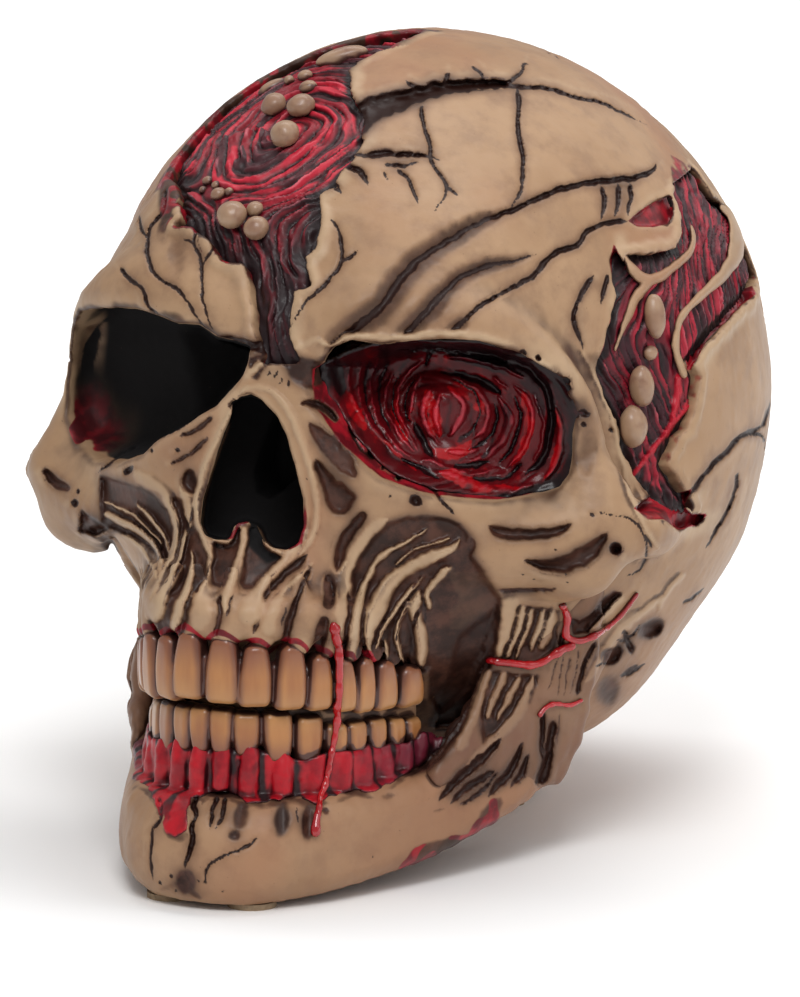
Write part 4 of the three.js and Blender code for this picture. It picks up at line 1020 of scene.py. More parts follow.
# ---- muscle between cheekbone and jaw
ground(ze, [(420, 60), (700, 100), (690, 200), (680, 300), (560, 370), (380, 380), (390, 220)], 1.0, 0.85, 4, 2.5)
ground(ze, [(340, 400), (600, 425), (560, 560), (430, 690), (310, 780), (300, 640), (300, 520)], 1.0, 0.85, 4, 2.5)
ground(ze, [(750, 130), (800, 150), (850, 120), (900, 60), (960, 0), (1010, 10), (900, 180), (840, 215), (760, 225)], 1.3, 1.0, 4, 2.0, 0.3)
ground(ze, [(880, 370), (920, 300), (980, 240), (1010, 300), (990, 350), (930, 375)], 1.2, 0.95, 4, 3.0)
for P in (
    [(455, 50, 70), (430, 190, 60), (395, 330, 50)],
    [(520, 85, 36), (480, 230, 26), (430, 345, 18)],
    [(562, 95, 30), (525, 220, 22), (475, 340, 16)],
    [(622, 100, 26), (582, 220, 32), (550, 310, 18)],
    [(668, 105, 40), (642, 200, 50), (602, 300, 34)],
    [(345, 395, 40), (300, 520, 52), (250, 680, 54), (190, 800, 80)],
    [(425, 415, 40), (365, 560, 40), (328, 650, 20)],
    [(500, 430, 30), (445, 540, 34), (380, 650, 14)],
    [(565, 430, 34), (510, 580, 52), (430, 690, 52), (330, 800, 60), (230, 900, 60)],
    [(1010, 30, 30), (905, 150, 30), (850, 205, 20)],
    [(1090, 110, 50), (985, 225, 44), (885, 380, 40), (822, 470, 20)],
):
    for s_ in (S, M):
        s_.stroke([q[:2] + (q[2] * 1.15,) for q in ze(P)], lift=0.3, dark=0, pw=4.0, ends=(0.05, 0.1))
for P, d in (
    ([(410, 740, 30), (300, 850, 50), (200, 930, 50), (90, 1050, 30)], 1.3),
    ([(370, 900, 36), (260, 970, 46), (150, 1060, 30)], 1.1),
    ([(390, 910, 14), (300, 1010, 28), (190, 1080, 14)], 0.9),
    ([(520, 750, 14), (470, 870, 44), (400, 960, 50), (340, 1030, 22)], 1.2),
    ([(540, 820, 10), (500, 920, 42), (450, 990, 14)], 1.0),
    ([(880, 250, 20), (812, 400, 24), (782, 530, 22)], 1.0),
    ([(620, 610, 26), (610, 730, 30), (610, 850, 20)], 1.1),
    ([(672, 650, 40), (642, 800, 50), (618, 920, 60), (578, 970, 56)], 1.4),
    ([(720, 210, 20), (700, 262, 40), (730, 290, 16)], 1.2),
    ([(690, 340, 6), (660, 440, 7), (640, 500, 6)], 0.5),
    ([(716, 330, 6), (700, 440, 8), (690, 530, 7)], 0.5),
    ([(750, 320, 6), (735, 430, 7), (722, 530, 6)], 0.5),
    ([(790, 300, 6), (772, 420, 6), (752, 520, 6)], 0.5),
    ([(700, 610, 6), (690, 700, 7), (685, 780, 5)], 0.5),
    ([(660, 980, 14), (640, 1000, 16)], 0.8),
    ([(545, 1105, 8), (580, 1072, 10), (570, 1100, 6)], 0.5),
    ([(480, 1125, 12), (420, 1170, 14)], 0.6),
    ([(1020, 200, 30), (1050, 300, 26)], 1.0),
    ([(1090, 370, 16), (1000, 430, 14)], 0.8),
):
    hollow(ze(P), d, mirror=True, dark=0.5, wash=1.0)
for s_ in (S, M):
    s_.blob(420 + 940 / 5, 590 + 500 / 5, 12, 16, 20, 0.5, wash=0.65, soft=0.6)
# skull base behind the muscle: hollows with wash and painted shade
for x, y, rx, ry, t, d in ((1272, 296, 62, 40, -35, 1.6), (1088, 418, 42, 36, -20, 1.5), (1178, 378, 16, 34, -10, 1.2), (1076, 552, 34, 40, 20, 0.5)):
    for s_ in (S, M):
        s_.blob(360 + x / 4.356, 560 + y / 4.356, rx / 4.356, ry / 4.356, t, d, wash=0.9 if d > 1 else 0.5, soft=0.4)
for P, w in (([(1120, 348), (1160, 346), (1212, 300), (1222, 272)], 12), ([(1130, 505), (1180, 488), (1240, 446)], 12), ([(1030, 462), (1092, 450)], 9), ([(1160, 346), (1176, 400)], 10), ([(1400, 190), (1440, 168), (1500, 120)], 12)):
    groove(cam, z7(P), w / 4.356, 0.8, mirror=True)
for P in ([(1330, 152), (1240, 222), (1140, 300)], [(1420, 60), (1340, 140), (1300, 215)]):
    strand(z7(P), 6, lift=0.5, mirror=True)
# ---- temple plate behind the wound
for uv, w in (
    ([(689, 495), (697, 484), (714, 464), (730, 448), (746, 434), (763, 437), (767, 459)], 4.4),
    ([(746, 434), (763, 423), (774, 393)], 4.0),
    ([(738, 473), (730, 506), (716, 528), (705, 550)], 4.0),
    ([(593, 275), (580, 296), (574, 322), (585, 352)], 5.0),
    ([(608, 273), (603, 290), (601, 305)], 5.0),
):
    groove(cam, uv, w, 0.9)
# ---- jaw
for P, d in (
    ([(432, 598, 22), (406, 640, 20), (421, 682, 17), (400, 722, 20), (405, 782, 20), (386, 842, 22), (370, 910, 22)], 1.6),
    ([(245, 588, 12), (270, 640, 14), (260, 700, 12), (230, 742, 12), (225, 802, 11), (220, 862, 11), (226, 930, 13), (241, 972, 9)], 1.0),
    ([(692, 768, 10), (640, 810, 13), (600, 835, 13), (540, 852, 12), (480, 890, 13), (460, 942, 12), (450, 1004, 8)], 1.0),
    ([(512, 592, 24), (490, 660, 20), (475, 742, 12)], 1.3),
    ([(546, 598, 20), (532, 680, 18), (500, 740, 10)], 1.1),
    ([(862, 640, 5), (858, 692, 8), (864, 712, 4)], 0.5),
):
    groove(cam, z6(P), depth=d, ends=(0.05, 0.2))
for x, y, rx, ry, t, d, w in ((612, 680, 34, 62, 14, 0.9, 0.75), (585, 765, 24, 24, 0, 0.7, 0.85), (792, 695, 34, 74, 6, 0.9, 0.8), (905, 712, 28, 74, 4, 1.1, 1.0), (985, 655, 17, 17, 0, 0.8, 0.9), (375, 968, 40, 52, 0, 1.2, 0.95), (412, 1022, 40, 14, 35, 0.3, 0.6), (300, 985, 44, 16, -20, 0.3, 0.4), (1258, 592, 34, 14, -10, 0.4, 0.5), (1180, 600, 20, 8, 0, 0.2, 0.4), (1480, 655, 26, 8, -10, 0.3, 0.5)):
    S.blob(100 + x / 4.356, 660 + y / 4.356, rx / 4.356, ry / 4.356, t, d, wash=w, soft=0.35)
for x, y, r in ((310, 942, 9), (262, 968, 7), (540, 1010, 6), (430, 965, 6), (1190, 850, 7), (470, 965, 5), (330, 1000, 6)):
    pit(cam, (100 + x / 4.356, 660 + y / 4.356), r / 4.356, 0.8)
# ---- sides that the reference view hides
wander(VR, (300, 330), -70, 260, 21, 5.5, 1.1)
wander(VR, (430, 250), -20, 230, 22, 5, 1.0)
wander(VR, (520, 420), 35, 200, 23, 5, 1.0)
wander(VR, (330, 500), -10, 150, 24, 4.5, 0.9)
wander(VR, (590, 330), -95, 230, 25, 5, 1.0)
wander(VR, (460, 170), 15, 200, 26, 7, 1.2)
wander(VB, (400, 120), -90, 330, 31, 6.5, 1.2)
wander(VB, (400, 300), -25, 240, 32, 5, 1.0)
wander(VB, (390, 340), -160, 250, 33, 5, 1.0)
wander(VB, (560, 240), 60, 180, 34, 4.5, 0.9)
wander(VB, (250, 260), -110, 230, 35, 4.5, 0.9)
wander(VB, (480, 560), -60, 170, 36, 4, 0.8)
wander(VO, (420, 300), 20, 260, 41, 5.5, 1.1)
wander(VO, (300, 380), 110, 220, 42, 5, 1.0)
wander(VO, (560, 430), -40, 240, 43, 5, 1.0)
wander(VL, (500, 260), 20, 230, 51, 5, 1.0)
wander(VL, (580, 420), -50, 220, 52, 5, 1.0)
wander(VL, (480, 560), -15, 200, 53, 4.5, 0.9)
wander(VL, (640, 330), 80, 170, 54, 4.5, 0.9)
log("strokes")

for s_ in (S, M, *HID.values()):
    s_.soften()
S.see([V, J, GU, ML])
M.z, M.zc = S.z, S.zc
carve(V)
carve(J)
carve(ML, out=1.6)
carve(MR, out=1.6)
log("relief")

# ---- wounds: pockets with ragged edges
def chart_px(c, pts, ppm=5.5):
    return [((x - 400) / ppm + c.T @ c.right, (498.5 - y) / ppm + c.T @ c.up) for x, y in pts]


CROWN = chart_px(VC, [(393, 296), (410, 328), (421, 358), (424, 389), (433, 408), (458, 429), (499, 456), (536, 488), (550, 508), (556, 528), (559, 552), (560, 568), (554, 584), (572, 605), (588, 622), (597, 643), (588, 657), (601, 673), (613, 684), (600, 697), (609, 720), (614, 743), (621, 756), (604, 770), (582, 782), (584, 764), (576, 752), (563, 732), (546, 711), (533, 695), (526, 691), (510, 699), (492, 696), (472, 683), (441, 674), (416, 678), (420, 668), (369, 630), (326, 610), (300, 585), (285, 540), (283, 490), (300, 440), (322, 395), (345, 350), (368, 315), (385, 292)])
TEMPLE = [(36, 127), (46, 123), (47, 116), (54, 114), (60, 106), (62, 98), (52, 96), (35, 94), (26, 92), (18, 90), (13, 87), (15, 84), (13, 80), (10, 74), (7, 73), (4, 68), (8, 62), (12, 57), (2, 60), (-4, 66), (-7, 72), (-7, 78), (-10, 83), (-13, 90), (-9, 94), (-7, 99), (-5, 105), (0, 111), (12, 110), (19, 110), (22, 112), (25, 116), (26, 120), (30, 124)]
MC = Mask2(CROWN, 0.35, 12)
MT = Mask2(TEMPLE, 0.35, 12)
POCKET = 3.3


def chart_grid(c, X, Y, Z):
    return (X * c.right[0] + Y * c.right[1] + Z * c.right[2], X * c.up[0] + Y * c.up[1] + Z * c.up[2], X * c.back[0] + Y * c.back[1] + Z * c.back[2])


def wound(c, mask, lo, hi, front, seed):
    sl = V.box(lo, hi)
    X, Y, Z = V.grid(sl)
    u, w, b = chart_grid(c, X, Y, Z)
    z = np.zeros_like(u)
    m = mask(u, w) + 0.55 * noise2(u, w, 3.1, N1, seed) + 0.35 * noise2(u, w, 1.3, N2, seed)
    m = np.where(b > front, m, 9.0)
    s0 = SMOOTH.a[sl]
    # bone lip round the wound
    lip = np.exp(-(((m - 1.3) / 1.1) ** 2)) * 0.55
    V.a[sl] -= np.where(s0 > -3, lip, 0).astype(np.float32)
    pocket = smax(m, -(s0 + POCKET), 0.5)
    V.a[sl] = smax(V.a[sl], -pocket, 0.25)
    return m


VOL_C = ((-60, -70, 96), (34, 60, 165))
VOL_T = ((30, -40, 50), (78, 66, 132))
wound(VC, MC, *VOL_C, 60, 3)
wound(VT, MT, *VOL_T, 30, 5)
# torn pockets beside the temple wound, and one full of blood at the end of the long forehead crack
TORN = [
    ([(628, 221), (641, 210), (657, 201), (671, 196), (673, 214), (667, 224), (653, 227), (637, 226)], 1.6),
    ([(614, 244), (610, 262), (614, 282), (617, 296), (611, 318), (604, 345), (597, 364), (602, 368), (612, 352), (622, 325), (630, 304), (640, 290), (628, 276), (622, 262)], 2.4),
    ([(627, 256), (640, 259), (660, 252), (683, 248), (692, 252), (686, 263), (668, 271), (652, 277), (641, 278), (632, 268)], 2.4),
    ([(634, 508), (653, 495), (675, 495), (692, 489), (683, 506), (692, 514), (708, 514), (697, 525), (678, 530), (664, 519), (648, 519)], 2.2),
    ([(681, 319), (692, 311), (714, 300), (736, 292), (752, 286), (756, 294), (741, 305), (725, 322), (708, 338), (697, 358), (689, 371), (686, 360), (692, 338), (683, 333)], 2.6),
]
TM = [Mask2(P, 1.0, 12) for P, d in TORN]
sl = V.box((34, -44, 60), (80, 40, 140))
X, Y, Z = V.grid(sl)
u, w = cam.grid_proj(X, Y, Z)
jit_ = 0.3 * noise2(u / PX, w / PX, 1.6, N2, 3)
for RP, (P, dep) in zip(TM, TORN):
    m = RP(u, w) / PX + jit_
    V.a[sl] = smax(V.a[sl], -smax(m, -(SMOOTH.a[sl] + dep), 0.4), 0.3)
log("wounds")
# surface grain
for v, amp in ((V, 0.08), (J, 0.09)):
    X, Y, Z = v.grid()
    near = np.argwhere(np.abs(v.a) < 2.2)
    p = np.stack([v.ax[i][near[:, i]] for i in range(3)], 1)
    d = amp * N1(p, 1.6) + amp * 1.5 * N2(p, 5.0) + 0.30 * N3(p, 17.0)
    v.a[near[:, 0], near[:, 1], near[:, 2]] += d.astype(np.float32)
log("grain")


# ------------------------------------------------------------------ meshes
def components(n, q):
    lab = np.arange(n)
    e = np.concatenate([q[:, [0, 1]], q[:, [1, 2]], q[:, [2, 3]]])
    while True:
        m = np.minimum(lab[e[:, 0]], lab[e[:, 1]])
        new = lab.copy()
        np.minimum.at(new, e[:, 0], m)
        np.minimum.at(new, e[:, 1], m)
        new = new[new]
        new = new[new]
        if (new == lab).all():
            return lab
        lab = new


def quads(v, keep=150):
    g = vdb.FloatGrid(3.0)
    g.copyFromArray(np.ascontiguousarray(np.clip(v.a / v.h, -3, 3)))
    g.gridClass = vdb.GridClass.LEVEL_SET
    p, q = g.convertToQuads(isovalue=0.0)
    q = q[:, ::-1].astype(np.int64)
    lab = components(len(p), q)
    ids, cnt = np.unique(lab, return_counts=True)
    good = ids[cnt >= min(keep, cnt.max())]
    use = np.isin(lab, good)
    idx = np.cumsum(use) - 1
    q = idx[q[use[q[:, 0]]]]
    return (v.lo + p[use] * v.h).astype(np.float64), q


def make(name, p, q, attrs, mat, nodes=()):
    me = bpy.data.meshes.new(name)
    me.vertices.add(len(p))
    me.vertices.foreach_set("co", (p * 0.001).astype(np.float32).ravel())
    k = q.shape[1]
    me.loops.add(len(q) * k)
    me.loops.foreach_set("vertex_index", q.ravel().astype(np.int32))
    me.polygons.add(len(q))
    me.polygons.foreach_set("loop_start", np.arange(0, len(q) * k, k, dtype=np.int32))
    me.polygons.foreach_set("use_smooth", np.ones(len(q), bool))
    me.update()
    me.validate()
    for n, a in attrs.items():
        at = me.attributes.new(n, "FLOAT", "POINT")
        at.data.foreach_set("value", np.asarray(a, np.float32))
    me.materials.append(mat)
    o = bpy.data.objects.new(name, me)
    bpy.context.scene.collection.objects.link(o)
    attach(o, "root")
    if nodes:
        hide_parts(*nodes)
    return o


def occlusion(v, p, n, ds=(1.5, 3.0, 6.0, 11.0, 18.0)):
    out = np.zeros(len(p))
    W = 0.0
    for i, d in enumerate(ds):
        w = 0.8**i
        out += w * np.clip((d - v.sample(p + n * d)) / d, 0, 1.4)
        W += w
    return np.clip(out / W, 0, 1)


# ------------------------------------------------------------------ materials
class Mat:
    def __init__(s, name, rough=0.5, spec=0.5, coat=0.0, coat_rough=0.2):
        s.m = bpy.data.materials.new(name)
        s.m.use_nodes = True
        s.t = s.m.node_tree
        s.b = s.t.nodes["Principled BSDF"]
        s.b.inputs["Roughness"].default_value = rough
        s.b.inputs["Specular IOR Level"].default_value = spec
        s.b.inputs["Coat Weight"].default_value = coat
        s.b.inputs["Coat Roughness"].default_value = coat_rough
        s.co = s.t.nodes.new("ShaderNodeTexCoord").outputs["Object"]

    def attr(s, name):
        n = s.t.nodes.new("ShaderNodeAttribute")
        n.attribute_name = name
        return n.outputs["Fac"]

    def noise(s, scale, detail=3, rough=0.5, stretch=None):
        n = s.t.nodes.new("ShaderNodeTexNoise")
        n.inputs["Scale"].default_value = scale
        n.inputs["Detail"].default_value = detail
        n.inputs["Roughness"].default_value = rough
        src = s.co
        if stretch:
            m = s.t.nodes.new("ShaderNodeMapping")
            m.inputs["Scale"].default_value = stretch
            s.t.links.new(src, m.inputs["Vector"])
            src = m.outputs["Vector"]
        s.t.links.new(src, n.inputs["Vector"])
        return n.outputs["Fac"]

    def math(s, op, a, b=None, clamp=False):
        n = s.t.nodes.new("ShaderNodeMath")
        n.operation = op
        n.use_clamp = clamp
        for i, x in enumerate((a, b)):
            if x is None:
                continue
            if isinstance(x, (int, float)):
                n.inputs[i].default_value = x
            else:
                s.t.links.new(x, n.inputs[i])
        return n.outputs[0]

    def band(s, x, a, b, lo=0.0, hi=1.0):
        n = s.t.nodes.new("ShaderNodeMapRange")
        n.interpolation_type = "SMOOTHSTEP"
        n.inputs["From Min"].default_value = a
        n.inputs["From Max"].default_value = b
        n.inputs["To Min"].default_value = lo
        n.inputs["To Max"].default_value = hi
        s.t.links.new(x, n.inputs["Value"])
        return n.outputs["Result"]

    def mix(s, fac, a, b, mode="MIX"):
        n = s.t.nodes.new("ShaderNodeMix")
        n.data_type = "RGBA"
        n.blend_type = mode
        for k, x in ((0, fac), (6, a), (7, b)):
            if isinstance(x, (int, float)):
                n.inputs[k].default_value = x
            elif isinstance(x, tuple):
                n.inputs[k].default_value = (*lin(x), 1.0)
            else:
                s.t.links.new(x, n.inputs[k])
        return n.outputs[2]

    def color(s, x):
        s.t.links.new(x, s.b.inputs["Base Color"])

    def rough(s, x):
        s.t.links.new(x, s.b.inputs["Roughness"])

    def bump(s, x, strength=0.3, dist=0.0004):
        n = s.t.nodes.new("ShaderNodeBump")
        n.inputs["Strength"].default_value = strength
        n.inputs["Distance"].default_value = dist
        s.t.links.new(x, n.inputs["Height"])
        s.t.links.new(n.outputs["Normal"], s.b.inputs["Normal"])


def lin(c):
    return tuple(((x / 255.0) / 12.92 if x / 255.0 <= 0.04045 else ((x / 255.0 + 0.055) / 1.055) ** 2.4) for x in c)


def bone_material(name="painted_bone", a=(154, 121, 91), b=(166, 133, 102), warm=(152, 105, 77), pale=(186, 160, 130)):
    m = Mat(name, 0.44, 0.28)
    big, mid, fine = m.noise(38, 2), m.noise(140, 4, 0.6), m.noise(900, 3, 0.6)
    c = m.mix(m.band(big, 0.35, 0.65), a, b)
    c = m.mix(m.band(mid, 0.42, 0.72, 0, 0.7), c, (140, 110, 86))
    c = m.mix(m.band(m.noise(22, 2), 0.50, 0.70, 0, 0.6), c, warm)
    # paler on edges and ridge crests: worn paint and painted highlight
    c = m.mix(m.math("MULTIPLY", m.attr("hi"), 0.75), c, pale)
    c = m.mix(m.math("MULTIPLY", m.attr("low"), 0.6), c, (142, 98, 72))
    # thin brown wash and painted shade that gather round the strokes and in hollows
    soil = m.math("ADD", m.attr("soil"), m.math("MULTIPLY", m.math("SUBTRACT", mid, 0.5), 0.4))
    c = m.mix(m.band(soil, 0.05, 0.55, 0, 0.62), c, (116, 84, 62))
    c = m.mix(m.band(soil, 0.35, 0.95, 0, 0.72), c, (62, 42, 33))
    # darker where occluded: painted shade, which also stands for the wash that settles in hollows
    wash = m.math("ADD", m.attr("ao"), m.math("MULTIPLY", m.math("SUBTRACT", mid, 0.5), 0.55))
    c = m.mix(m.band(wash, 0.22, 0.62, 0, 0.62), c, m.mix(m.band(m.noise(520, 3, 0.6), 0.42, 0.62), (88, 58, 42), (116, 84, 62)))
    c = m.mix(m.band(wash, 0.48, 0.92, 0, 0.9), c, (44, 27, 21))
    # drawn wash in the carved hollows, with painted shade in it
    w = m.math("ADD", m.attr("wash"), m.math("MULTIPLY", m.math("SUBTRACT", mid, 0.5), 0.35))
    c = m.mix(m.band(w, 0.12, 0.88, 0, 0.94), c, m.mix(m.band(m.noise(110, 5, 0.7), 0.40, 0.64), (38, 18, 13), (80, 48, 37)))
    # darker in creases: painted shade
    c = m.mix(m.band(m.attr("cav"), 0.10, 0.70, 0, 0.82), c, (56, 33, 26))
    dk = m.math("ADD", m.attr("dark"), m.math("MULTIPLY", m.math("SUBTRACT", fine, 0.5), 0.4))
    c = m.mix(m.band(dk, 0.22, 0.7, 0, 0.97), c, (36, 15, 10))
    c = m.mix(m.band(m.math("ADD", m.attr("red"), m.math("MULTIPLY", m.math("SUBTRACT", m.noise(420, 3), 0.5), 0.5)), 0.3, 0.62), c, m.mix(m.band(m.noise(260, 3), 0.35, 0.6), (156, 24, 37), (94, 18, 25)))
    c = m.mix(m.band(m.attr("blk"), 0.2, 0.95), c, (12, 9, 10))
    c = m.mix(m.band(m.noise(1500, 2), 0.72, 0.80, 0, 0.45), c, (60, 44, 36))
    m.color(c)
    m.rough(m.math("ADD", m.band(m.attr("red"), 0.3, 0.6, 0.44, 0.34), m.math("MULTIPLY", m.attr("blk"), 0.4)))
    m.bump(fine, 0.15, 0.0003)
    return m.m


def flesh_material(name, base, bright, dull, wet=0.7, rough=0.3, tip=(196, 84, 96), tipmax=0.35, deep=(28, 9, 14), spec=0.4):
    m = Mat(name, rough, spec, wet, 0.18)
    n1, n2 = m.noise(300, 4, 0.6), m.noise(90, 3)
    c = m.mix(m.band(m.attr("band"), 0.40, 0.60), base, bright)
    c = m.mix(m.band(m.attr("grey"), 0.50, 0.64, 0, 0.92), c, dull)
    crest = m.math("SUBTRACT", m.attr("st"), m.math("MULTIPLY", m.math("SUBTRACT", n1, 0.5), 0.35))
    # strand gaps, creases and occluded places darken to deep: painted shade, with the flesh's own dark paint
    c = m.mix(m.band(crest, 0.12, 0.50, 0.95, 0), c, deep)
    # strand crests lighten to tip: painted highlight
    c = m.mix(m.band(crest, 0.62, 0.95, 0, tipmax), c, tip)
    c = m.mix(m.band(m.attr("cav"), 0.2, 0.8, 0, 0.85), c, deep)
    c = m.mix(m.band(m.attr("ao"), 0.30, 0.70, 0, 0.94), c, deep)
    c = m.mix(m.band(n2, 0.55, 0.75, 0, 0.4), c, (48, 11, 18))
    c = m.mix(m.attr("vein"), c, (176, 26, 44))
    m.color(c)
    m.bump(n1, 0.25, 0.0003)
    return m.m


def simple_material(name, a, b, rough, scale=200, coat=0.0, spec=0.5, dark=None, bump=0.15):
    m = Mat(name, rough, spec, coat, 0.08)
    n = m.noise(scale, 3, 0.55)
    c = m.mix(m.band(n, 0.35, 0.68), a, b)
    # darker where occluded: painted shade
    if dark:
        c = m.mix(m.band(m.attr("ao"), 0.3, 0.8, 0, 0.9), c, dark)
    m.color(c)
    m.bump(m.noise(scale * 3, 2), bump, 0.0002)
    return m.m


BONE = bone_material()
CROWN_M = flesh_material("wound_flesh", (132, 18, 34), (186, 34, 54), (46, 22, 28), 0.08, 0.5, (214, 112, 124), 0.5, (24, 6, 10), 0.3)
TEMPLE_M = flesh_material("temple_wound_flesh", (114, 20, 36), (160, 28, 48), (48, 19, 27), 0.08, 0.5, (200, 96, 106), 0.5, (22, 7, 10), 0.3)
EYE_M = flesh_material("eye_flesh", (84, 3, 10), (156, 5, 14), (34, 5, 10), 0.14, 0.36, (204, 62, 76), 0.5, (10, 2, 4), 0.22)


# ------------------------------------------------------------------ pieces
def teeth_row(name, z_up, edges, ztop, zbot, outer, seed):
    r = np.random.RandomState(seed)
    pts = []
    for s in (1, -1):
        for i, (x, y) in enumerate(outer):
            pts.append((s, i, x * s, y))
    v = Vol((-37, -96, min(zbot) - 4), (37, -38, max(ztop) + 4), HF)
    ref = []
    path = [(0.0, outer[0][1] - 0.6)] + [(x, y) for x, y in outer]
    for s, i, x, y in pts:
        a = np.array(path[max(i, 0)])
        b = np.array(path[min(i + 2, len(path) - 1)])
        t = b - a
        if i == 0:
            t = np.array([1.0, 0.16])
        t = t / np.linalg.norm(t)
        n = np.array([t[1], -t[0]])
        t, n = t * [s, 1], n * [s, 1]
        # as wide as the spacing along the arch, so neighbours touch
        before = 2 * outer[0][0] if i == 0 else np.hypot(outer[i][0] - outer[i - 1][0], outer[i][1] - outer[i - 1][1])
        after = np.hypot(outer[i + 1][0] - outer[i][0], outer[i + 1][1] - outer[i][1]) if i + 1 < len(outer) else before
        w = min((before + after) / 2, edges[i + 1] - edges[i] + 1.8)
        zt, zb = ztop[i] + r.uniform(-0.3, 0.3), zbot[i] + r.uniform(-0.25, 0.25)
        hz, hw, ht = (zt - zb) / 2, w / 2 - 0.12, 2.7
        c = np.array([x, y]) - n * (ht - 0.1)
        tilt = r.uniform(-0.05, 0.05)
        lo = np.array([c[0] - hw - 4, c[1] - hw - 4, zb - 2])
        hi = np.array([c[0] + hw + 4, c[1] + hw + 4, zt + 2])
        sl = v.box(lo, hi)
        X, Y, Z = v.grid(sl)
        cc = Z - (zt + zb) / 2
        la = (X - c[0]) * t[0] + (Y - c[1]) * t[1] - tilt * cc
        lb = (X - c[0]) * n[0] + (Y - c[1]) * n[1]
        e = cc / hz * (1 if z_up else -1)  # +1 at the root
        half = hw * (1.02 - (0.46 if z_up else 0.36) * np.clip((e + 0.7) / 1.7, 0, 1) ** 2.2 - 0.10 * (np.clip(-e, 0, 1) ** 4))
        front = ht * (1 - 0.10 * np.clip(e, -1, 1) ** 2) - 0.065 * la**2 - 0.25 * np.clip(-e, 0, 1) ** 3
        groove_ = 0.10 * np.cos(la / max(hw, 1) * 4.4) * np.clip(1 - e, 0, 1)
        rr = min(1.5, hw * 0.55)
        qa, qb, qc = np.abs(la) - half + rr, np.maximum(lb - front + groove_, -lb - ht) + rr, np.abs(cc) - hz + rr
        d = np.sqrt(np.maximum(qa, 0) ** 2 + np.maximum(qb, 0) ** 2 + np.maximum(qc, 0) ** 2) + np.minimum(np.maximum(qa, np.maximum(qb, qc)), 0) - rr
        v.a[sl] = smin(v.a[sl], d.astype(np.float32), 0.15)
        ref.append((c, t, n, (zt + zb) / 2, hz, hw))
    # bar behind the crowns, that ties the row together
    zm = (np.array(ztop) + np.array(zbot)) / 2
    bar = [(x * 0.88, y + 3.2, z, 1.5, 2.6) for (x, y), z in zip(outer, zm)]
    wall(v, spline([(-p[0],) + p[1:] for p in bar[::-1]] + bar, 3), "+", 0.6, rnd=1.4)
    return v, ref


UP_E = [0, 7.1, 13.3, 20.1, 26.0, 30.5, 36.2, 41.5, 50.3]
UP_O = [(4.0, -89.2), (10.6, -86.3), (16.6, -81.5), (20.6, -76.2), (23.7, -70.9), (25.9, -66.2), (27.9, -60.6), (29.8, -52.8)]
UP_T = [55.2, 53.6, 53.0, 50.6, 49.2, 48.1, 46.8, 44.6]
UP_B = [41.3, 40.4, 39.4, 39.0, 37.8, 37.1, 36.6, 35.8]
LO_E = [0, 4.6, 9.9, 16.1, 22.3, 27.6, 32.6, 38.2, 43.4, 48.2]
LO_O = [(2.5, -86.6), (7.6, -84.5), (13.1, -80.7), (17.7, -75.7), (21.3, -70.4), (23.6, -65.6), (25.6, -60.4), (27.3, -55.0), (28.4, -49.8)]
LO_T = [40.0, 39.2, 38.8, 37.6, 35.4, 35.1, 35.0, 34.3, 33.2]
LO_B = [30.2, 29.8, 28.4, 26.8, 27.6, 27.0, 26.8, 27.0, 27.4]
TU, UP_REF = teeth_row("upper", True, UP_E, UP_T, UP_B, UP_O, 71)
TL, LO_REF = teeth_row("lower", False, LO_E, LO_T, LO_B, LO_O, 72)

# gum under the lower teeth
GUM = Vol((-40, -100, 8), (40, -36, 36), HF)
GUM_PX = z6([(470, 372), (560, 360), (600, 368), (660, 376), (720, 396), (800, 391), (840, 426), (900, 434), (950, 408), (1040, 396), (1110, 386), (1170, 356), (1240, 376), (1290, 356), (1340, 356), (1400, 310), (1450, 300), (1500, 320), (1485, 392), (1400, 455), (1330, 500), (1260, 543), (1200, 575), (1160, 580), (1120, 563), (1070, 575), (1000, 595), (940, 632), (905, 615), (840, 600), (780, 615), (700, 615), (640, 620), (600, 585), (560, 575), (470, 575)])
GUM_PX2 = z6([(140, 350), (240, 335), (290, 340), (350, 345), (380, 355), (440, 362), (500, 370), (560, 362), (620, 372), (620, 590), (600, 585), (560, 575), (480, 573), (440, 594), (400, 604), (388, 642), (382, 742), (330, 780), (290, 764), (268, 704), (238, 604), (206, 564), (150, 524)])
G1, G2 = Mask2(GUM_PX, 1.0, 30), Mask2(GUM_PX2, 1.0, 30)
X, Y, Z = GUM.grid()
u1, w1 = cam.grid_proj(np.abs(X), Y, Z)
u2, w2 = cam.grid_proj(X, Y, Z)
m = np.minimum(G1(u1, w1), np.where(X < 1.5, G2(u2, w2), 60)) / PX
m = np.where(Y > -42 - 0 * X, 9, m)
P = GUM.points()
jb = J.sample(P).reshape(GUM.n)
body = Vol((-40, -100, 8), (40, -36, 36), HF)
wall(body, spline(full([(0, -82.2, 26, 3.3, 5.6), (15.0, -74.4, 25.9, 3.3, 5.6), (22.2, -61.8, 24.6, 3.4, 5.2), (26.2, -46.6, 24.2, 3.2, 4.8), (26.6, -40, 24, 2.8, 4.4)]), 5), "+", 0, rnd=2.2)
for s in (1, -1):
    for i, ((x, y), zt, zb, wd) in enumerate(zip(LO_O, LO_T, LO_B, np.diff(LO_E))):
        r = min(2.5, wd * 0.45)
        tube(body, np.array([[x * s * 0.985, y + 2.1, zb + 1.6, r * 0.85], [x * s * 0.99, y + 1.3, zb - 2.5, r], [x * s, y + 0.6, zb - 8.5, r * 0.75]]), "+", 0.3, 2)
skin = smin(body.a, jb - 0.30, 0.8)
fine = 0.2 * N1(P, 1.5).reshape(GUM.n) + 0.34 * N2(P * [1, 1, 0.5], 2.8).reshape(GUM.n)
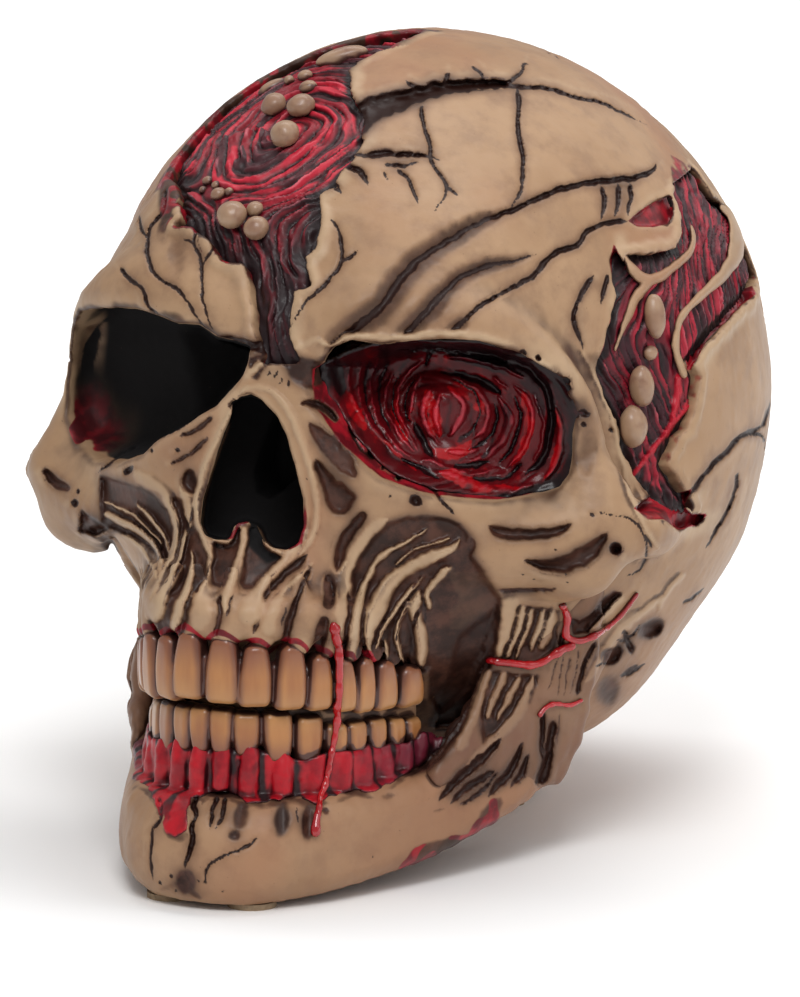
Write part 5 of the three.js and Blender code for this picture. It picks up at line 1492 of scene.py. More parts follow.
edge = 0.25 * noise2(u1, w1, 26.0, N3) + 0.35 * noise2(u1, w1 * 0.5, 7.0, N1)
GUM.a = smax(smax(skin + fine, m + edge, 0.6), -(jb + 3.2), 0.3).astype(np.float32)

EVERY = Union(V, J, TU, TL, GUM, ML, MR)


def basic(v, p, n):
    # occlusion and crease darkness at each point; the materials paint shade with them
    ao = occlusion(EVERY, p, n)
    cav = np.clip((1.1 - EVERY.sample(p + n * 1.1)) / 1.1 * 1.5, 0, 1)
    return ao, cav


def simple_piece(name, v, mat, nodes, keep=150, extra=None):
    p, q = quads(v, keep)
    n = normals(v, p, 0.5)
    ao, cav = basic(v, p, n)
    at = {"ao": ao, "cav": cav}
    if extra:
        at.update(extra(p, n))
    o = make(name, p, q, at, mat, nodes)
    log(name, len(p))
    return o


def tooth_material():
    m = Mat("tooth", 0.32, 0.45, 0.15, 0.15)
    n = m.noise(160, 3, 0.6, (1, 1, 0.25))
    c = m.mix(m.band(n, 0.35, 0.7), (172, 117, 67), (150, 95, 55))
    c = m.mix(m.band(m.attr("root"), 0.42, 0.95, 0, 0.8), c, (118, 70, 54))
    c = m.mix(m.band(m.attr("tip"), 0.55, 1.0, 0, 0.45), c, (178, 136, 90))
    # darker towards each tooth's sides, in creases and where occluded: painted shade
    c = m.mix(m.band(m.attr("side"), 0.50, 0.98, 0, 0.85), c, (96, 56, 46))
    c = m.mix(m.band(m.attr("cav"), 0.08, 0.50, 0, 0.92), c, (66, 34, 28))
    c = m.mix(m.band(m.attr("ao"), 0.38, 0.80, 0, 0.92), c, (44, 24, 20))
    m.color(c)
    m.bump(m.noise(700, 2, 0.5, (1, 1, 0.3)), 0.12, 0.0002)
    return m.m


TOOTH = tooth_material()


def tooth_attrs(ref, up):
    def f(p, n):
        root, side = np.zeros(len(p)), np.ones(len(p))
        best = np.full(len(p), 1e9)
        for c, t, nn, zm, hz, hw in ref:
            a = (p[:, 0] - c[0]) * t[0] + (p[:, 1] - c[1]) * t[1]
            d = np.hypot(p[:, 0] - c[0], p[:, 1] - c[1])
            m = d < best
            best = np.where(m, d, best)
            e = (p[:, 2] - zm) / hz * up
            root = np.where(m, np.clip(e * 0.5 + 0.5, 0, 1), root)
            side = np.where(m, np.clip(np.abs(a) / hw * (1 + 0.45 * np.clip(e, 0, 1)), 0, 1), side)
        return {"root": root, "tip": 1 - root, "side": side}

    return f


simple_piece("upper_teeth", TU, TOOTH, ("upper_teeth_row",), extra=tooth_attrs(UP_REF, 1))
simple_piece("lower_teeth", TL, TOOTH, ("lower_teeth_row",), extra=tooth_attrs(LO_REF, -1))


def gum_material():
    m = Mat("gum", 0.42, 0.3, 0.1, 0.15)
    n = m.noise(230, 4, 0.6)
    c = m.mix(m.band(n, 0.35, 0.7), (174, 14, 30), (132, 12, 26))
    c = m.mix(m.attr("rear"), c, (74, 26, 42))
    # darker in creases, where occluded and in the gaps between the teeth: painted shade
    c = m.mix(m.band(m.attr("cav"), 0.10, 0.6, 0, 0.9), c, (56, 6, 14))
    c = m.mix(m.band(m.attr("ao"), 0.48, 0.9, 0, 0.9), c, (44, 7, 12))
    c = m.mix(m.attr("gap"), c, (34, 12, 16))
    m.color(c)
    m.bump(n, 0.25, 0.0003)
    return m.m


def gum_attrs(p, n):
    gap = np.zeros(len(p))
    d = np.full(len(p), 1e9)
    for c, t, nn, zm, hz, hw in LO_REF:
        a = np.abs((p[:, 0] - c[0]) * t[0] + (p[:, 1] - c[1]) * t[1])
        d = np.minimum(d, a / hw)
    # gap: painted shade between the teeth
    gap = sstep(0.70, 0.96, d + 0.22 * N1(p, 1.7)) * sstep(16, 22, p[:, 2])
    return {"rear": sstep(-74, -50, p[:, 1]) * 0.85, "gap": gap}


simple_piece("lower_gum_flesh", GUM, gum_material(), ("lower_gum",), extra=gum_attrs)

BODY = Union(V, J)


def casting_attrs(p, n):
    at = layers(p, n, ("dark", "wash", "red", "hi", "soil"))
    wear_and_highlight = np.clip((2.0 + BODY.sample(p - n * 2.0)) / 1.4, 0, 1)
    return at, wear_and_highlight


MUSCLE = bone_material("dried_muscle", (122, 88, 68), (132, 98, 76), (98, 60, 52), (160, 130, 102))
for nm, v, node in (("cheek_muscle_left", ML, "left_cheek_muscle"), ("cheek_muscle_right", MR, "right_cheek_muscle")):
    P = v.points()
    v.a += (0.14 * N1(P * [1, 1, 0.25], 1.3) + 0.1 * N2(P, 2.6)).reshape(v.n).astype(np.float32)

    def muscle_attrs(p, n, v=v):
        at = layers(p, n, ("dark", "wash", "hi", "soil"))
        wear_and_highlight = np.clip((1.5 + v.sample(p - n * 1.5)) / 1.2, 0, 1)
        z = np.zeros(len(p))
        return {"dark": at["dark"], "wash": at["wash"], "soil": np.clip(at["soil"] + 0.12, 0, 1), "hi": np.clip(at["hi"] * 0.6 + wear_and_highlight * 0.3, 0, 1), "red": z, "blk": z}

    simple_piece(nm, v, MUSCLE, (node,), extra=muscle_attrs)


# ---- flesh in the wounds
def warp(u, w, a1, a2, seed):
    du = a1 * noise2(u, w, 13.0, N1, seed) + a2 * noise2(u, w, 4.5, N2, seed + 1)
    dw = a1 * noise2(u, w, 13.0, N2, seed + 2) + a2 * noise2(u, w, 4.5, N3, seed + 3)
    return u + du, w + dw


def polydist(u, w, P):
    """Distance in pixels to the edge of a drawn line; P holds x, y, width."""
    P = np.asarray(P, float)
    best = np.full(u.shape, 1e9, np.float32)
    for a, b in zip(P[:-1], P[1:]):
        e = b[:2] - a[:2]
        k = np.clip(((u - a[0]) * e[0] + (w - a[1]) * e[1]) / max(e @ e, 1e-9), 0, 1)
        best = np.minimum(best, np.hypot(u - a[0] - k * e[0], w - a[1] - k * e[1]) - (a[2] + (b[2] - a[2]) * k) / 2)
    return best


VEINS = [z3([(428, 900, 20), (430, 960, 22), (402, 1080, 18), (342, 1160, 16), (240, 1292, 14)]), z3([(490, 985, 16), (440, 1040, 12), (402, 1078, 12)]), z3([(455, 1010, 8), (470, 985, 6)])]


def vein_at(p):
    u, w = cam.proj(p)
    d = np.full(len(p), 1e9)
    for L in VEINS:
        d = np.minimum(d, polydist(u, w, resample(spline(L, 4), 5.0)))
    return d / PX + 0.25 * N2(p, 1.5)


def strands(u, w, psi_of, lam, seed):
    """Height of torn strands, 0 in the gaps and 1 on the crests, and the phase across them."""
    uu, ww = warp(u, w, 3.4, 1.1, seed)
    psi, along_ = psi_of(uu, ww)
    a = np.abs(np.sin(math.pi * psi / lam)) ** 0.85
    b = np.abs(np.sin(math.pi * (psi * 1.0 + 0.13 * along_) / (lam * 0.46))) ** 0.8
    gate = np.clip(0.55 + 0.75 * noise2(psi / lam * 2.3, along_ * 0.22, 1.0, N3, seed + 5), 0.05, 1)
    gate2 = np.clip(0.5 + 0.8 * noise2(psi / lam * 4.1, along_ * 0.35, 1.0, N2, seed + 6), 0.0, 1)
    h = (0.62 * a * (0.35 + 0.65 * gate) + 0.30 * b * gate2 + 0.10 * noise2(u, w, 1.3, N1, seed + 7))
    return h, psi, along_


def wound_flesh(name, c, mask, box, front, psi_of, lam, amp, top, mat, node, seed):
    v = Vol(box[0], box[1], HF)
    X, Y, Z = v.grid()
    u, w, b = chart_grid(c, X, Y, Z)
    m = np.where(b > front, mask(u, w), 9.0)
    m += 0.5 * noise2(u, w, 3.1, N1, seed) * (np.abs(m) < 4)
    s0 = np.full(v.n, 9.0, np.float32)
    near = m < 2.5
    idx = np.argwhere(near)
    p = np.stack([v.ax[i][idx[:, i]] for i in range(3)], 1)
    s0[near] = SMOOTH.sample(p)
    ok = near & (np.abs(s0) < 6)
    idx = np.argwhere(ok)
    uu, ww = u[ok], w[ok]
    st, _, _ = strands(uu, ww, psi_of, lam, seed)
    edge = np.clip(-m[ok] / 2.6, 0, 1)
    vein = vein_at(np.stack([v.ax[i][idx[:, i]] for i in range(3)], 1)) if c is VT else 9.0
    hgt = -top + 0.9 * sstep(0.4, -0.5, vein) + amp * (st - 0.35) * (0.4 + 0.6 * edge) + 0.55 * noise2(uu, ww, 12.0, N2, seed) - 1.0 * (1 - edge)
    d = np.full(v.n, 3.0, np.float32)
    d[ok] = np.maximum(s0[ok] - hgt, np.maximum(m[ok] - 0.8, -(s0[ok] + POCKET + 1.2)))
    v.a = d
    p, q = quads(v, 400)
    n = normals(v, p, 0.5)
    U, W = chart(c, p)
    st, ps, al = strands(U, W, psi_of, lam, seed)
    ao, cav = basic(v, p, n)
    me = mask(U, W)
    # ao adds painted shade under the bone lip at the wound's edge, and in the crown wound darker towards the forehead
    # side
    at = {
        "ao": np.clip(ao + 0.35 * sstep(-3.0, -0.2, me) + (0.5 * sstep(78, 54, W) if c is VC else 0), 0, 1),
        "cav": cav,
        "st": st,
        "band": 0.5 + 0.6 * noise2(ps / lam * 1.5, al * 0.10, 1.0, N2, seed + 4),
        "grey": 0.47 + 0.6 * noise2(ps / lam * 1.9, al * 0.12, 1.0, N3, seed + 6) + 0.10 * noise2(U, W, 14.0, N2, seed + 8) + 0.12 * sstep(-7, -1, me),
        "vein": sstep(0.3, -0.15, vein_at(p)) if c is VT else np.zeros(len(p)),
    }
    make(name, p, q, at, mat, (node,))
    log(name, len(p))
    return v


def psi_crown(u, w):
    cu, cw = 3.6, 80.0
    r = np.hypot((u - cu), (w - cw) * 0.92)
    th = np.arctan2(w - cw, u - cu)
    ring = r + 1.4 * th
    across = 0.80 * (u - 20) + 0.55 * (w - 52) + 20
    down = 0.55 * (u - 20) - 0.80 * (w - 52)
    t = sstep(50, 70, w)
    return ring * t + across * (1 - t), (th * r * 0.8) * t + down * (1 - t)


def psi_temple(u, w):
    a = math.radians(24)
    uu, ww = u - 20, w - 100
    up = sstep(92, 112, w)
    lower = 0.97 * u + 0.22 * (w - 90)
    upper = math.cos(a) * uu - math.sin(a) * ww * 0.9
    return lower * (1 - up) + (upper + 14) * up + 1.7 * np.sin(w / 6.5 + 0.10 * u), w + 0.25 * u


FC = wound_flesh("crown_wound_flesh", VC, MC, VOL_C, 60, psi_crown, 2.4, 2.1, 1.25, CROWN_M, "crown_flesh", 21)
FT = wound_flesh("temple_wound_flesh", VT, MT, VOL_T, 30, psi_temple, 2.1, 1.9, 1.35, TEMPLE_M, "temple_flesh", 33)


# ---- flesh in the left eye socket
def eye_relief(x, z):
    """Strand height and phase of the whorl; the strands are torn and uneven."""
    cx, cz = 31.0, 93.6
    wx = x + 3.4 * noise2(x, z, 12.0, N1, 31) + 1.0 * noise2(x, z, 4.5, N2, 32)
    wz = z + 3.4 * noise2(x, z, 12.0, N2, 33) + 1.0 * noise2(x, z, 4.5, N3, 34)
    r = np.hypot((wx - cx) * 0.84, wz - cz)
    th = np.arctan2(wz - cz, (wx - cx) * 0.84)
    psi = r + th / (2 * math.pi) * 3.1
    a = np.abs(np.sin(math.pi * psi / 3.1)) ** 0.9
    b = np.abs(np.sin(math.pi * (psi + 1.1 * noise2(x, z, 9.0, N3, 37)) / 1.37)) ** 0.8
    gate = np.clip(0.5 + 0.9 * noise2(psi * 0.7, th * 3.0, 2.0, N3, 35), 0, 1)
    return r, th, psi, 0.58 * a * (0.25 + 0.75 * gate) + 0.32 * b * (1 - 0.5 * gate) + 0.14 * noise2(x, z, 1.6, N1, 36)


zg = zoomed(320, 330, 5)
EH, EC = Sheet(cam), Sheet(cam)  # relief and dark paint, then red and dull paint
for P in (
    [(170, 150, 12), (140, 240, 14), (160, 340, 14), (215, 450, 14)],
    [(215, 150, 14), (190, 260, 16), (205, 360, 16), (255, 470, 16), (330, 560, 16), (420, 640, 14), (500, 700, 10)],
    [(300, 140, 16), (255, 260, 18), (270, 390, 18), (320, 500, 18), (400, 600, 16), (470, 640, 10)],
    [(370, 200, 20), (325, 310, 22), (338, 420, 22), (400, 530, 20), (480, 610, 14)],
    [(510, 160, 18), (440, 220, 26), (390, 310, 28), (392, 420, 24), (445, 520, 20), (490, 600, 12)],
    [(505, 215, 16), (470, 300, 22), (458, 380, 20), (450, 450, 10)],
    [(560, 290, 34), (512, 400, 40), (540, 500, 34), (600, 575, 22)],
    [(600, 320, 26), (578, 420, 30), (612, 545, 20)],
    [(650, 300, 34), (722, 380, 48), (690, 470, 44), (640, 530, 20)],
    [(690, 250, 18), (790, 310, 32), (842, 400, 40), (820, 490, 34), (760, 550, 22)],
    [(890, 340, 36), (945, 430, 54), (920, 540, 54), (840, 620, 44), (740, 670, 26)],
    [(860, 235, 12), (940, 300, 16)],
    [(960, 270, 20), (1040, 350, 30), (1060, 460, 32), (1020, 590, 28), (935, 690, 16)],
    [(1060, 320, 12), (1112, 430, 18), (1112, 550, 18), (1065, 660, 12)],
    [(1160, 350, 20), (1205, 500, 44), (1190, 640, 44), (1125, 745, 30)],
    [(590, 700, 44), (700, 745, 50), (820, 785, 44), (950, 800, 40), (1080, 775, 26)],
    [(500, 640, 14), (620, 680, 18), (760, 725, 20), (900, 690, 14)],
    [(640, 610, 40), (740, 610, 40), (820, 560, 20)],
    [(620, 130, 20), (760, 150, 26), (900, 185, 24), (1020, 240, 18)],
):
    EH.stroke(zg(P), lift=0.8, dark=0, pw=1.8, ends=(0.14, 0.14))
for P, d in (
    ([(380, 95, 16), (560, 90, 36), (700, 95, 46), (850, 120, 50), (1000, 170, 50), (1100, 250, 44), (1152, 370, 40), (1150, 520, 44), (1112, 650, 44), (1010, 735, 30)], 1.0),
    ([(590, 205, 22), (740, 235, 44), (870, 290, 46), (905, 330, 20)], 1.0),
    ([(640, 240, 12), (760, 300, 14), (800, 400, 14), (760, 500, 14), (680, 545, 12)], 0.7),
    ([(470, 460, 30), (515, 560, 40), (565, 645, 26)], 1.0),
    ([(660, 685, 30), (770, 680, 36), (850, 650, 16)], 0.9),
    ([(400, 640, 20), (520, 700, 26), (600, 745, 16)], 0.8),
    ([(866, 350, 14), (888, 450, 18), (820, 560, 18), (740, 600, 10)], 0.8),
    ([(975, 320, 14), (1002, 450, 24), (955, 600, 22), (880, 680, 14)], 0.9),
    ([(480, 230, 10), (432, 330, 12), (428, 430, 12), (470, 480, 10)], 0.7),
    ([(410, 200, 10), (365, 310, 12), (372, 420, 12), (430, 540, 10)], 0.6),
    ([(340, 160, 12), (295, 280, 16), (305, 400, 14), (360, 520, 12)], 0.7),
    ([(250, 150, 12), (225, 270, 14), (240, 380, 12), (300, 500, 10)], 0.7),
    ([(560, 80, 20), (540, 140, 22), (520, 190, 10)], 0.8),
    ([(1010, 660, 20), (940, 730, 26), (820, 750, 24), (740, 740, 14)], 0.8),
    ([(60, 130, 50), (90, 230, 60), (110, 330, 30)], 0.5),
):
    EH.stroke(zg(P), depth=d, dark=1.0, pw=1.8, ends=(0.12, 0.12))
for P in (
    [(120, 300, 40), (170, 400, 60), (230, 500, 40)],
    [(230, 110, 60), (280, 100, 60)],
    [(380, 300, 40), (380, 420, 44), (440, 560, 36)],
    [(540, 590, 30), (620, 620, 60), (720, 600, 60), (760, 540, 30)],
    [(590, 700, 70), (700, 745, 60), (820, 790, 50), (1000, 790, 30)],
    [(1010, 300, 40), (1045, 420, 50), (1030, 560, 50), (960, 680, 30)],
    [(1180, 340, 30), (1215, 500, 60), (1190, 660, 60), (1100, 780, 40)],
    [(540, 300, 60), (560, 420, 80), (600, 540, 60)],
    [(640, 270, 60), (760, 330, 60), (820, 430, 60)],
    [(300, 540, 20), (400, 640, 24), (480, 700, 20)],
):
    EC.stroke(zg(P), depth=0, dark=0, red=1.0, ends=(0.2, 0.2))
for P in ([(900, 350, 50), (940, 440, 60), (900, 560, 60), (800, 640, 40)], [(680, 560, 40), (760, 500, 30)], [(640, 140, 60), (800, 160, 80), (980, 220, 80), (1090, 330, 60), (1120, 500, 60)]):
    EC.stroke(zg(P), depth=0, dark=0, wash=1.0, ends=(0.2, 0.2))


EH.a["h"] = np.clip(EH.a["h"], -1.0, 0.8)


def eye_flesh():
    v = Vol((6, -68, 72), (62, -26, 116), HF)
    X, Y, Z = v.grid()
    mo = Mask2(ORBIT, 0.4, 8)
    x, z = (X + 0 * Z), (Z + 0 * X)
    m2 = mo(x, z)
    m = m2 + 0 * Y
    r, th, psi, st = eye_relief(x, z)
    floor = -33.0 - (58 - np.abs(x)) * 0.25
    wallrise = 12.0 * np.clip(1 + m2 / 8.0, 0, 1) ** 1.8 * sstep(54, 34, x) + 1.5 * np.clip(1 + m2 / 4.0, 0, 1)
    dome = 7.5 * np.exp(-((r / 7.0) ** 2)) - 2.0 * np.exp(-(((r - 13) / 4.0) ** 2))
    yf = floor - 1.0 - wallrise - dome - 1.3 * st - 1.2 * noise2(x, z, 9.0, N3, 5)
    yf = np.minimum(yf, floor - 2.0)  # stays in front of the casting, whose socket ends behind it
    v.a = np.maximum((yf - Y) * 0.7, np.maximum(m - 0.9, Y - (floor + 2.0))).astype(np.float32)
    v.a = np.maximum(v.a, SMOOTH.sample(v.points()).reshape(v.n) + 0.9).astype(np.float32)
    carve(v, 3.0, 2.0, lambda p, g: EH.at(p, g, ("h",), -0.2, 0.1)[1]["h"] * sstep(-0.1, 0.3, g @ cam.back))
    p, q = quads(v, 400)
    n = normals(v, p, 0.5)
    ao, cav = basic(v, p, n)
    R, T, ps, s = eye_relief(p[:, 0], p[:, 2])
    eh = EH.at(p, n, ("dark", "hi"))[1]
    ec = EC.at(p, n, ("red", "wash"))[1]
    pu, pw = cam.proj(p)
    # painted shade round the socket's edge, heaviest over the top and on the outer side of the ring
    rim = sstep(-3.0, -0.5, Mask2(ORB_L, 1.0, 20)(pu, pw) / PX)
    ea, eb = (pu - 452) / 112, (pw - 418) / 74
    rim = rim + 2.6 * sstep(0.66, 0.98, np.hypot(ea, eb)) * np.maximum(sstep(-0.1, -0.6, eb), 0.6 * sstep(0.45, 0.85, ea))
    # ao holds occlusion, the strand gaps and the rim as painted shade; st brightens crests near the whorl's centre as a
    # painted highlight
    at = {
        "ao": np.clip(np.maximum(ao * 0.8, eh["dark"] * 0.85 * (1 - 0.3 * s)) + 0.16 * rim, 0, 1),
        "cav": cav * 0.8,
        "st": np.clip(0.42 + 0.5 * (s - 0.4) + 0.5 * eh["hi"] * (0.4 + 0.6 * np.exp(-((R / 12.0) ** 2))), 0, 1),
        "band": np.clip(0.34 + 0.22 * ec["red"] + 0.12 * N2(p, 2.2) + 0.10 * N1(p, 1.0), 0, 1),
        "grey": np.clip(0.38 + 0.24 * ec["wash"] * (1 - ec["red"]) + 0.12 * N1(p, 3.0), 0, 1),
        "vein": np.zeros(len(p)),
    }
    make("eye_socket_flesh", p, q, at, EYE_M, ("left_eye_flesh",))
    log("eye flesh", len(p))
    return v


FE = eye_flesh()

# ---- runs of blood and bone splinters
BLOOD = simple_material("fresh_blood", (176, 12, 22), (150, 8, 18), 0.16, 160, 0.6, 0.5, (70, 4, 8), 0.05)
WITHT = Union(V, J, TU, TL, GUM, ML, MR, FC, FT, GU)


def run_of(name, pts, mat, node, wob=0.12, seed=1, k=0.5, h=None):
    P = np.asarray(pts, float)
    h = h or (0.3)
    v = Vol(P[:, :3].min(0) - 3, P[:, :3].max(0) + 3, h)
    chain(v, P, "+", k, 2.5)
    Q = v.points()
    v.a += (wob * N1(Q, 2.2)).reshape(v.n).astype(np.float32)
    return simple_piece(name, v, mat, (node,), 60)


def along(c, uv, w, w1=None, on=None, lift=0.35, bead=0.0, seed=1):
    r = np.random.RandomState(seed)
    P = resample(spline(uv, 4), 4.0)
    p, ok = c.hit(on or WITHT, P)
    p = p[ok]
    # keep the run on the near surface
    n = normals(on or WITHT, p)
    t = np.linspace(0, 1, len(p))
    rad = (w + ((w if w1 is None else w1) - w) * t) / 2 / PX * (1 + 0.12 * r.uniform(-1, 1, len(p)))
    if bead:
        rad += bead * np.exp(-(((t - 1) / 0.06) ** 2))
    for _ in range(3):
        p[1:-1] = (p[:-2] + 2 * p[1:-1] + p[2:]) / 4
    q = p + n * lift
    return np.column_stack([q, rad])


d1 = along(cam, [(333, 625), (336, 640), (338, 655), (338, 700), (336, 720), (333, 740), (328, 765), (322, 790), (318, 810), (315, 832)], 7.5, 6.0, bead=0.5)
d1[:, 3] *= 1 + 0.55 * np.exp(-np.linspace(0, 1, len(d1)) / 0.12)
d1[0, 3] *= 0.6
run_of("mouth_drip", d1, BLOOD, "mouth_blood_drip")
run_of("cheek_drip_upper", along(cam, [(562, 604), (567, 620), (564, 631), (571, 640), (585, 639), (599, 631), (617, 617), (635, 594)], 8, 6, seed=2), BLOOD, "cheek_blood_upper")
run_of("cheek_drip_middle", along(cam, [(571, 645), (557, 652), (544, 661), (530, 666), (516, 664), (498, 663), (489, 659)], 9, 7, seed=3), BLOOD, "cheek_blood_middle")
run_of("cheek_drip_lower", along(cam, [(539, 714), (544, 707), (555, 702), (567, 706), (580, 700)], 6, 4.5, seed=4), BLOOD, "cheek_blood_lower")


def ribbon(name, lines, node, top=0.25, thick=2.8):
    """Strips of the old bone surface left standing over the wound; points hold x, y, width in the reference view."""
    lines = [resample(spline(L, 5), 5.0) for L in lines]
    A = np.concatenate(lines)
    h, ok = cam.hit(SMOOTH, A[:, :2])
    h = h[ok]
    v = Vol(h.min(0) - 5, h.max(0) + 5, 0.4)
    X, Y, Z = v.grid()
    u, w = cam.grid_proj(X + 0 * Y + 0 * Z, Y + 0 * X + 0 * Z, Z + 0 * X + 0 * Y)
    s0 = SMOOTH.sample(v.points()).reshape(v.n)
    m = np.full(v.n, 1e9, np.float32)
    for L in lines:
        m = np.minimum(m, polydist(u, w, L))
    m = m / PX + 0.22 * noise2(u / PX, w / PX, 1.5, N1, 3)
    d = smax(m.astype(np.float32), (s0 - top + 0.25 * noise2(u / PX, w / PX, 2.5, N2, 5)).astype(np.float32), 1.3)
    v.a = smax(d, -(s0 + thick), 0.5).astype(np.float32)

    # sunk parts of the strips get wash with painted shade and red; edges pale as worn paint and painted highlight
    def f(p, n):
        z = np.zeros(len(p))
        wear_and_highlight = np.clip((1.2 + v.sample(p - n * 1.2)) / 1.2, 0, 1)
        return {"dark": z, "wash": sstep(-0.9, -1.8, SMOOTH.sample(p)) * 0.9, "hi": wear_and_highlight * 0.4, "soil": z, "red": sstep(-1.2, -2.2, SMOOTH.sample(p)) * 0.7, "blk": z}

    simple_piece(name, v, BONE, (node,), 60, extra=f)


ribbon("splinter_rear", [z3([(592, 278, 30), (630, 310, 54), (648, 372, 62), (640, 452, 60), (600, 520, 46), (545, 575, 36), (486, 632, 28), (440, 690, 26), (422, 772, 28), (430, 840, 30), (452, 892, 26)])], "temple_bone_shard_rear")
ribbon("splinter_front", [z3([(478, 352, 10), (488, 402, 20), (470, 448, 30), (420, 492, 34), (372, 530, 34), (330, 550, 44)]), z3([(222, 428, 14), (246, 482, 28), (286, 532, 44), (330, 550, 44)]), z3([(325, 552, 44), (282, 604, 40), (250, 668, 30), (222, 740, 20), (200, 802, 10)])], "temple_bone_shard_front")


# ---- eggs
def egg_material():
    m = Mat("egg", 0.38, 0.45, 0.15, 0.2)
    n = m.noise(130, 3, 0.55)
    c = m.mix(m.band(n, 0.35, 0.68), (158, 128, 102), (136, 103, 82))
    c = m.mix(m.band(m.noise(260, 4, 0.6), 0.52, 0.72, 0, 0.45), c, (112, 76, 60))
    # darker where the egg sits close on the surface: painted shade
    c = m.mix(m.band(m.attr("low"), 0.15, 0.9, 0, 0.92), c, (62, 30, 28))
    m.color(c)
    m.bump(m.noise(500, 3), 0.15, 0.0002)
    return m.m


EGG_M = egg_material()
# name, then for each lump: px, py, semi-axis along, semi-axis across (pixels), tilt of the long axis, height share
EGGS = [
    ("crown_a", [(274, 105, 13, 12, 20, 0.5)]),
    ("crown_b", [(301, 106, 14.5, 12, 0, 0.5)]),
    ("crown_c", [(285, 134, 15, 14.5, 30, 0.55)]),
    ("crown_d", [(305, 76, 8, 6.5, 0, 0.3), (308, 87, 9.5, 7, -10, 0.3), (289, 80, 5.5, 5, 0, 0.3)]),
    ("crown_e", [(342, 57, 27, 10, 14, 0.25)]),
    ("crown_f", [(272, 87, 16, 6.5, 38, 0.2)]),
    ("forehead_a", [(232, 215, 15, 14, 30, 0.55)]),
    ("forehead_b", [(256, 228, 12.5, 12, 20, 0.55)]),
    ("forehead_c", [(255, 209, 8.5, 7.5, 10, 0.5)]),
    ("forehead_d", [(218, 194, 8, 6.5, 35, 0.4), (229, 192, 4.8, 4.6, 0, 0.4), (216, 185, 4.6, 4.2, 0, 0.4)]),
    ("forehead_e", [(208, 181, 6, 5, 0, 0.3), (203, 190, 4.2, 4, 0, 0.3)]),
    ("temple_a", [(655, 316, 22, 11, 97, 0.35)]),
    ("temple_b", [(650, 353, 7.5, 7.5, 0, 0.4)]),
    ("temple_c", [(642, 386, 21, 13, 105, 0.4)]),
    ("temple_d", [(633, 427, 21, 14.5, 95, 0.4)]),
]
SK = Union(V, FC, FT)


def sphere_mesh(nu=36, nv=20):
    pts = [(0, 0, 1.0)]
    for j in range(1, nv):
        a = math.pi * j / nv
        for i in range(nu):
            b = 2 * math.pi * i / nu
            pts.append((math.sin(a) * math.cos(b), math.sin(a) * math.sin(b), math.cos(a)))
    pts.append((0, 0, -1.0))
    f = []
    for i in range(nu):
        f.append((0, 1 + i, 1 + (i + 1) % nu))
    for j in range(nv - 2):
        for i in range(nu):
            a, b = 1 + j * nu + i, 1 + j * nu + (i + 1) % nu
            f.append((a, a + nu, b + nu))
            f.append((a, b + nu, b))
    base = 1 + (nv - 2) * nu
    last = len(pts) - 1
    for i in range(nu):
        f.append((last, base + (i + 1) % nu, base + i))
    return np.array(pts), np.array(f)


SP, SF = sphere_mesh()
for nm, lumps in EGGS:
    ps, fs, ls = [], [], []
    for px, py, ra, rb, tilt, up in lumps:
        hitp, ok = cam.hit(SK, np.array([[px, py]], float))
        nn = normals(SMOOTH, hitp, 2.0)[0]
        t = math.radians(tilt)
        ax = math.cos(t) * cam.right + math.sin(t) * cam.up
        ax = ax - nn * (ax @ nn)
        ax /= np.linalg.norm(ax)
        bx = np.cross(nn, ax)
        ra, rb = ra / PX, rb / PX
        # lifted towards the view, so that it stays where it was noted
        c = hitp[0] + cam.back * (rb * (up + 0.15) / max(float(nn @ cam.back), 0.45))
        d = SP / np.linalg.norm(SP, axis=1, keepdims=True)
        k = 1 + 0.06 * N1(d * 2 + c, 2.0) + 0.03 * N2(d * 2 + c, 0.8)
        off = (d[:, :1] * ra * ax + d[:, 1:2] * rb * bx + d[:, 2:] * rb * 0.92 * nn) * k[:, None]
        p = c + off
        # closeness to the surface under the egg, for its painted shade
        low = 1 - sstep(0.0, 1.7, SK.sample(p))
        fs.append(SF + sum(len(a) for a in ps))
        ps.append(p)
        ls.append(low)
    F = np.concatenate(fs)
    P_ = np.concatenate(ps)
    # outward faces
    a, b, c3 = P_[F[:, 0]], P_[F[:, 1]], P_[F[:, 2]]
    if np.einsum("ij,ij->", np.cross(b - a, c3 - a), a) < 0:
        F = F[:, ::-1]
    make("egg_" + nm + "_form", P_, F, {"low": np.concatenate(ls)}, EGG_M, ("egg_" + nm,))
log("eggs")

# ------------------------------------------------------------------ the two castings and their paint
MO = Mask2(ORBIT, 0.4, 10)
MN = Mask2([(x, z) for x, z in NOSE], 0.4, 10)
NV = Mask2(NOSE_V, 1.0, 30)
OR = Mask2(ORB_R, 1.0, 30)
JAWRED = Mask2([(385, 881), (406, 861), (417, 849), (436, 842), (452, 838), (470, 835), (475, 822), (479, 810), (491, 799), (502, 795), (506, 803), (502, 819), (491, 829), (472, 840), (461, 851), (440, 865), (417, 874), (390, 881)], 1.0, 25)


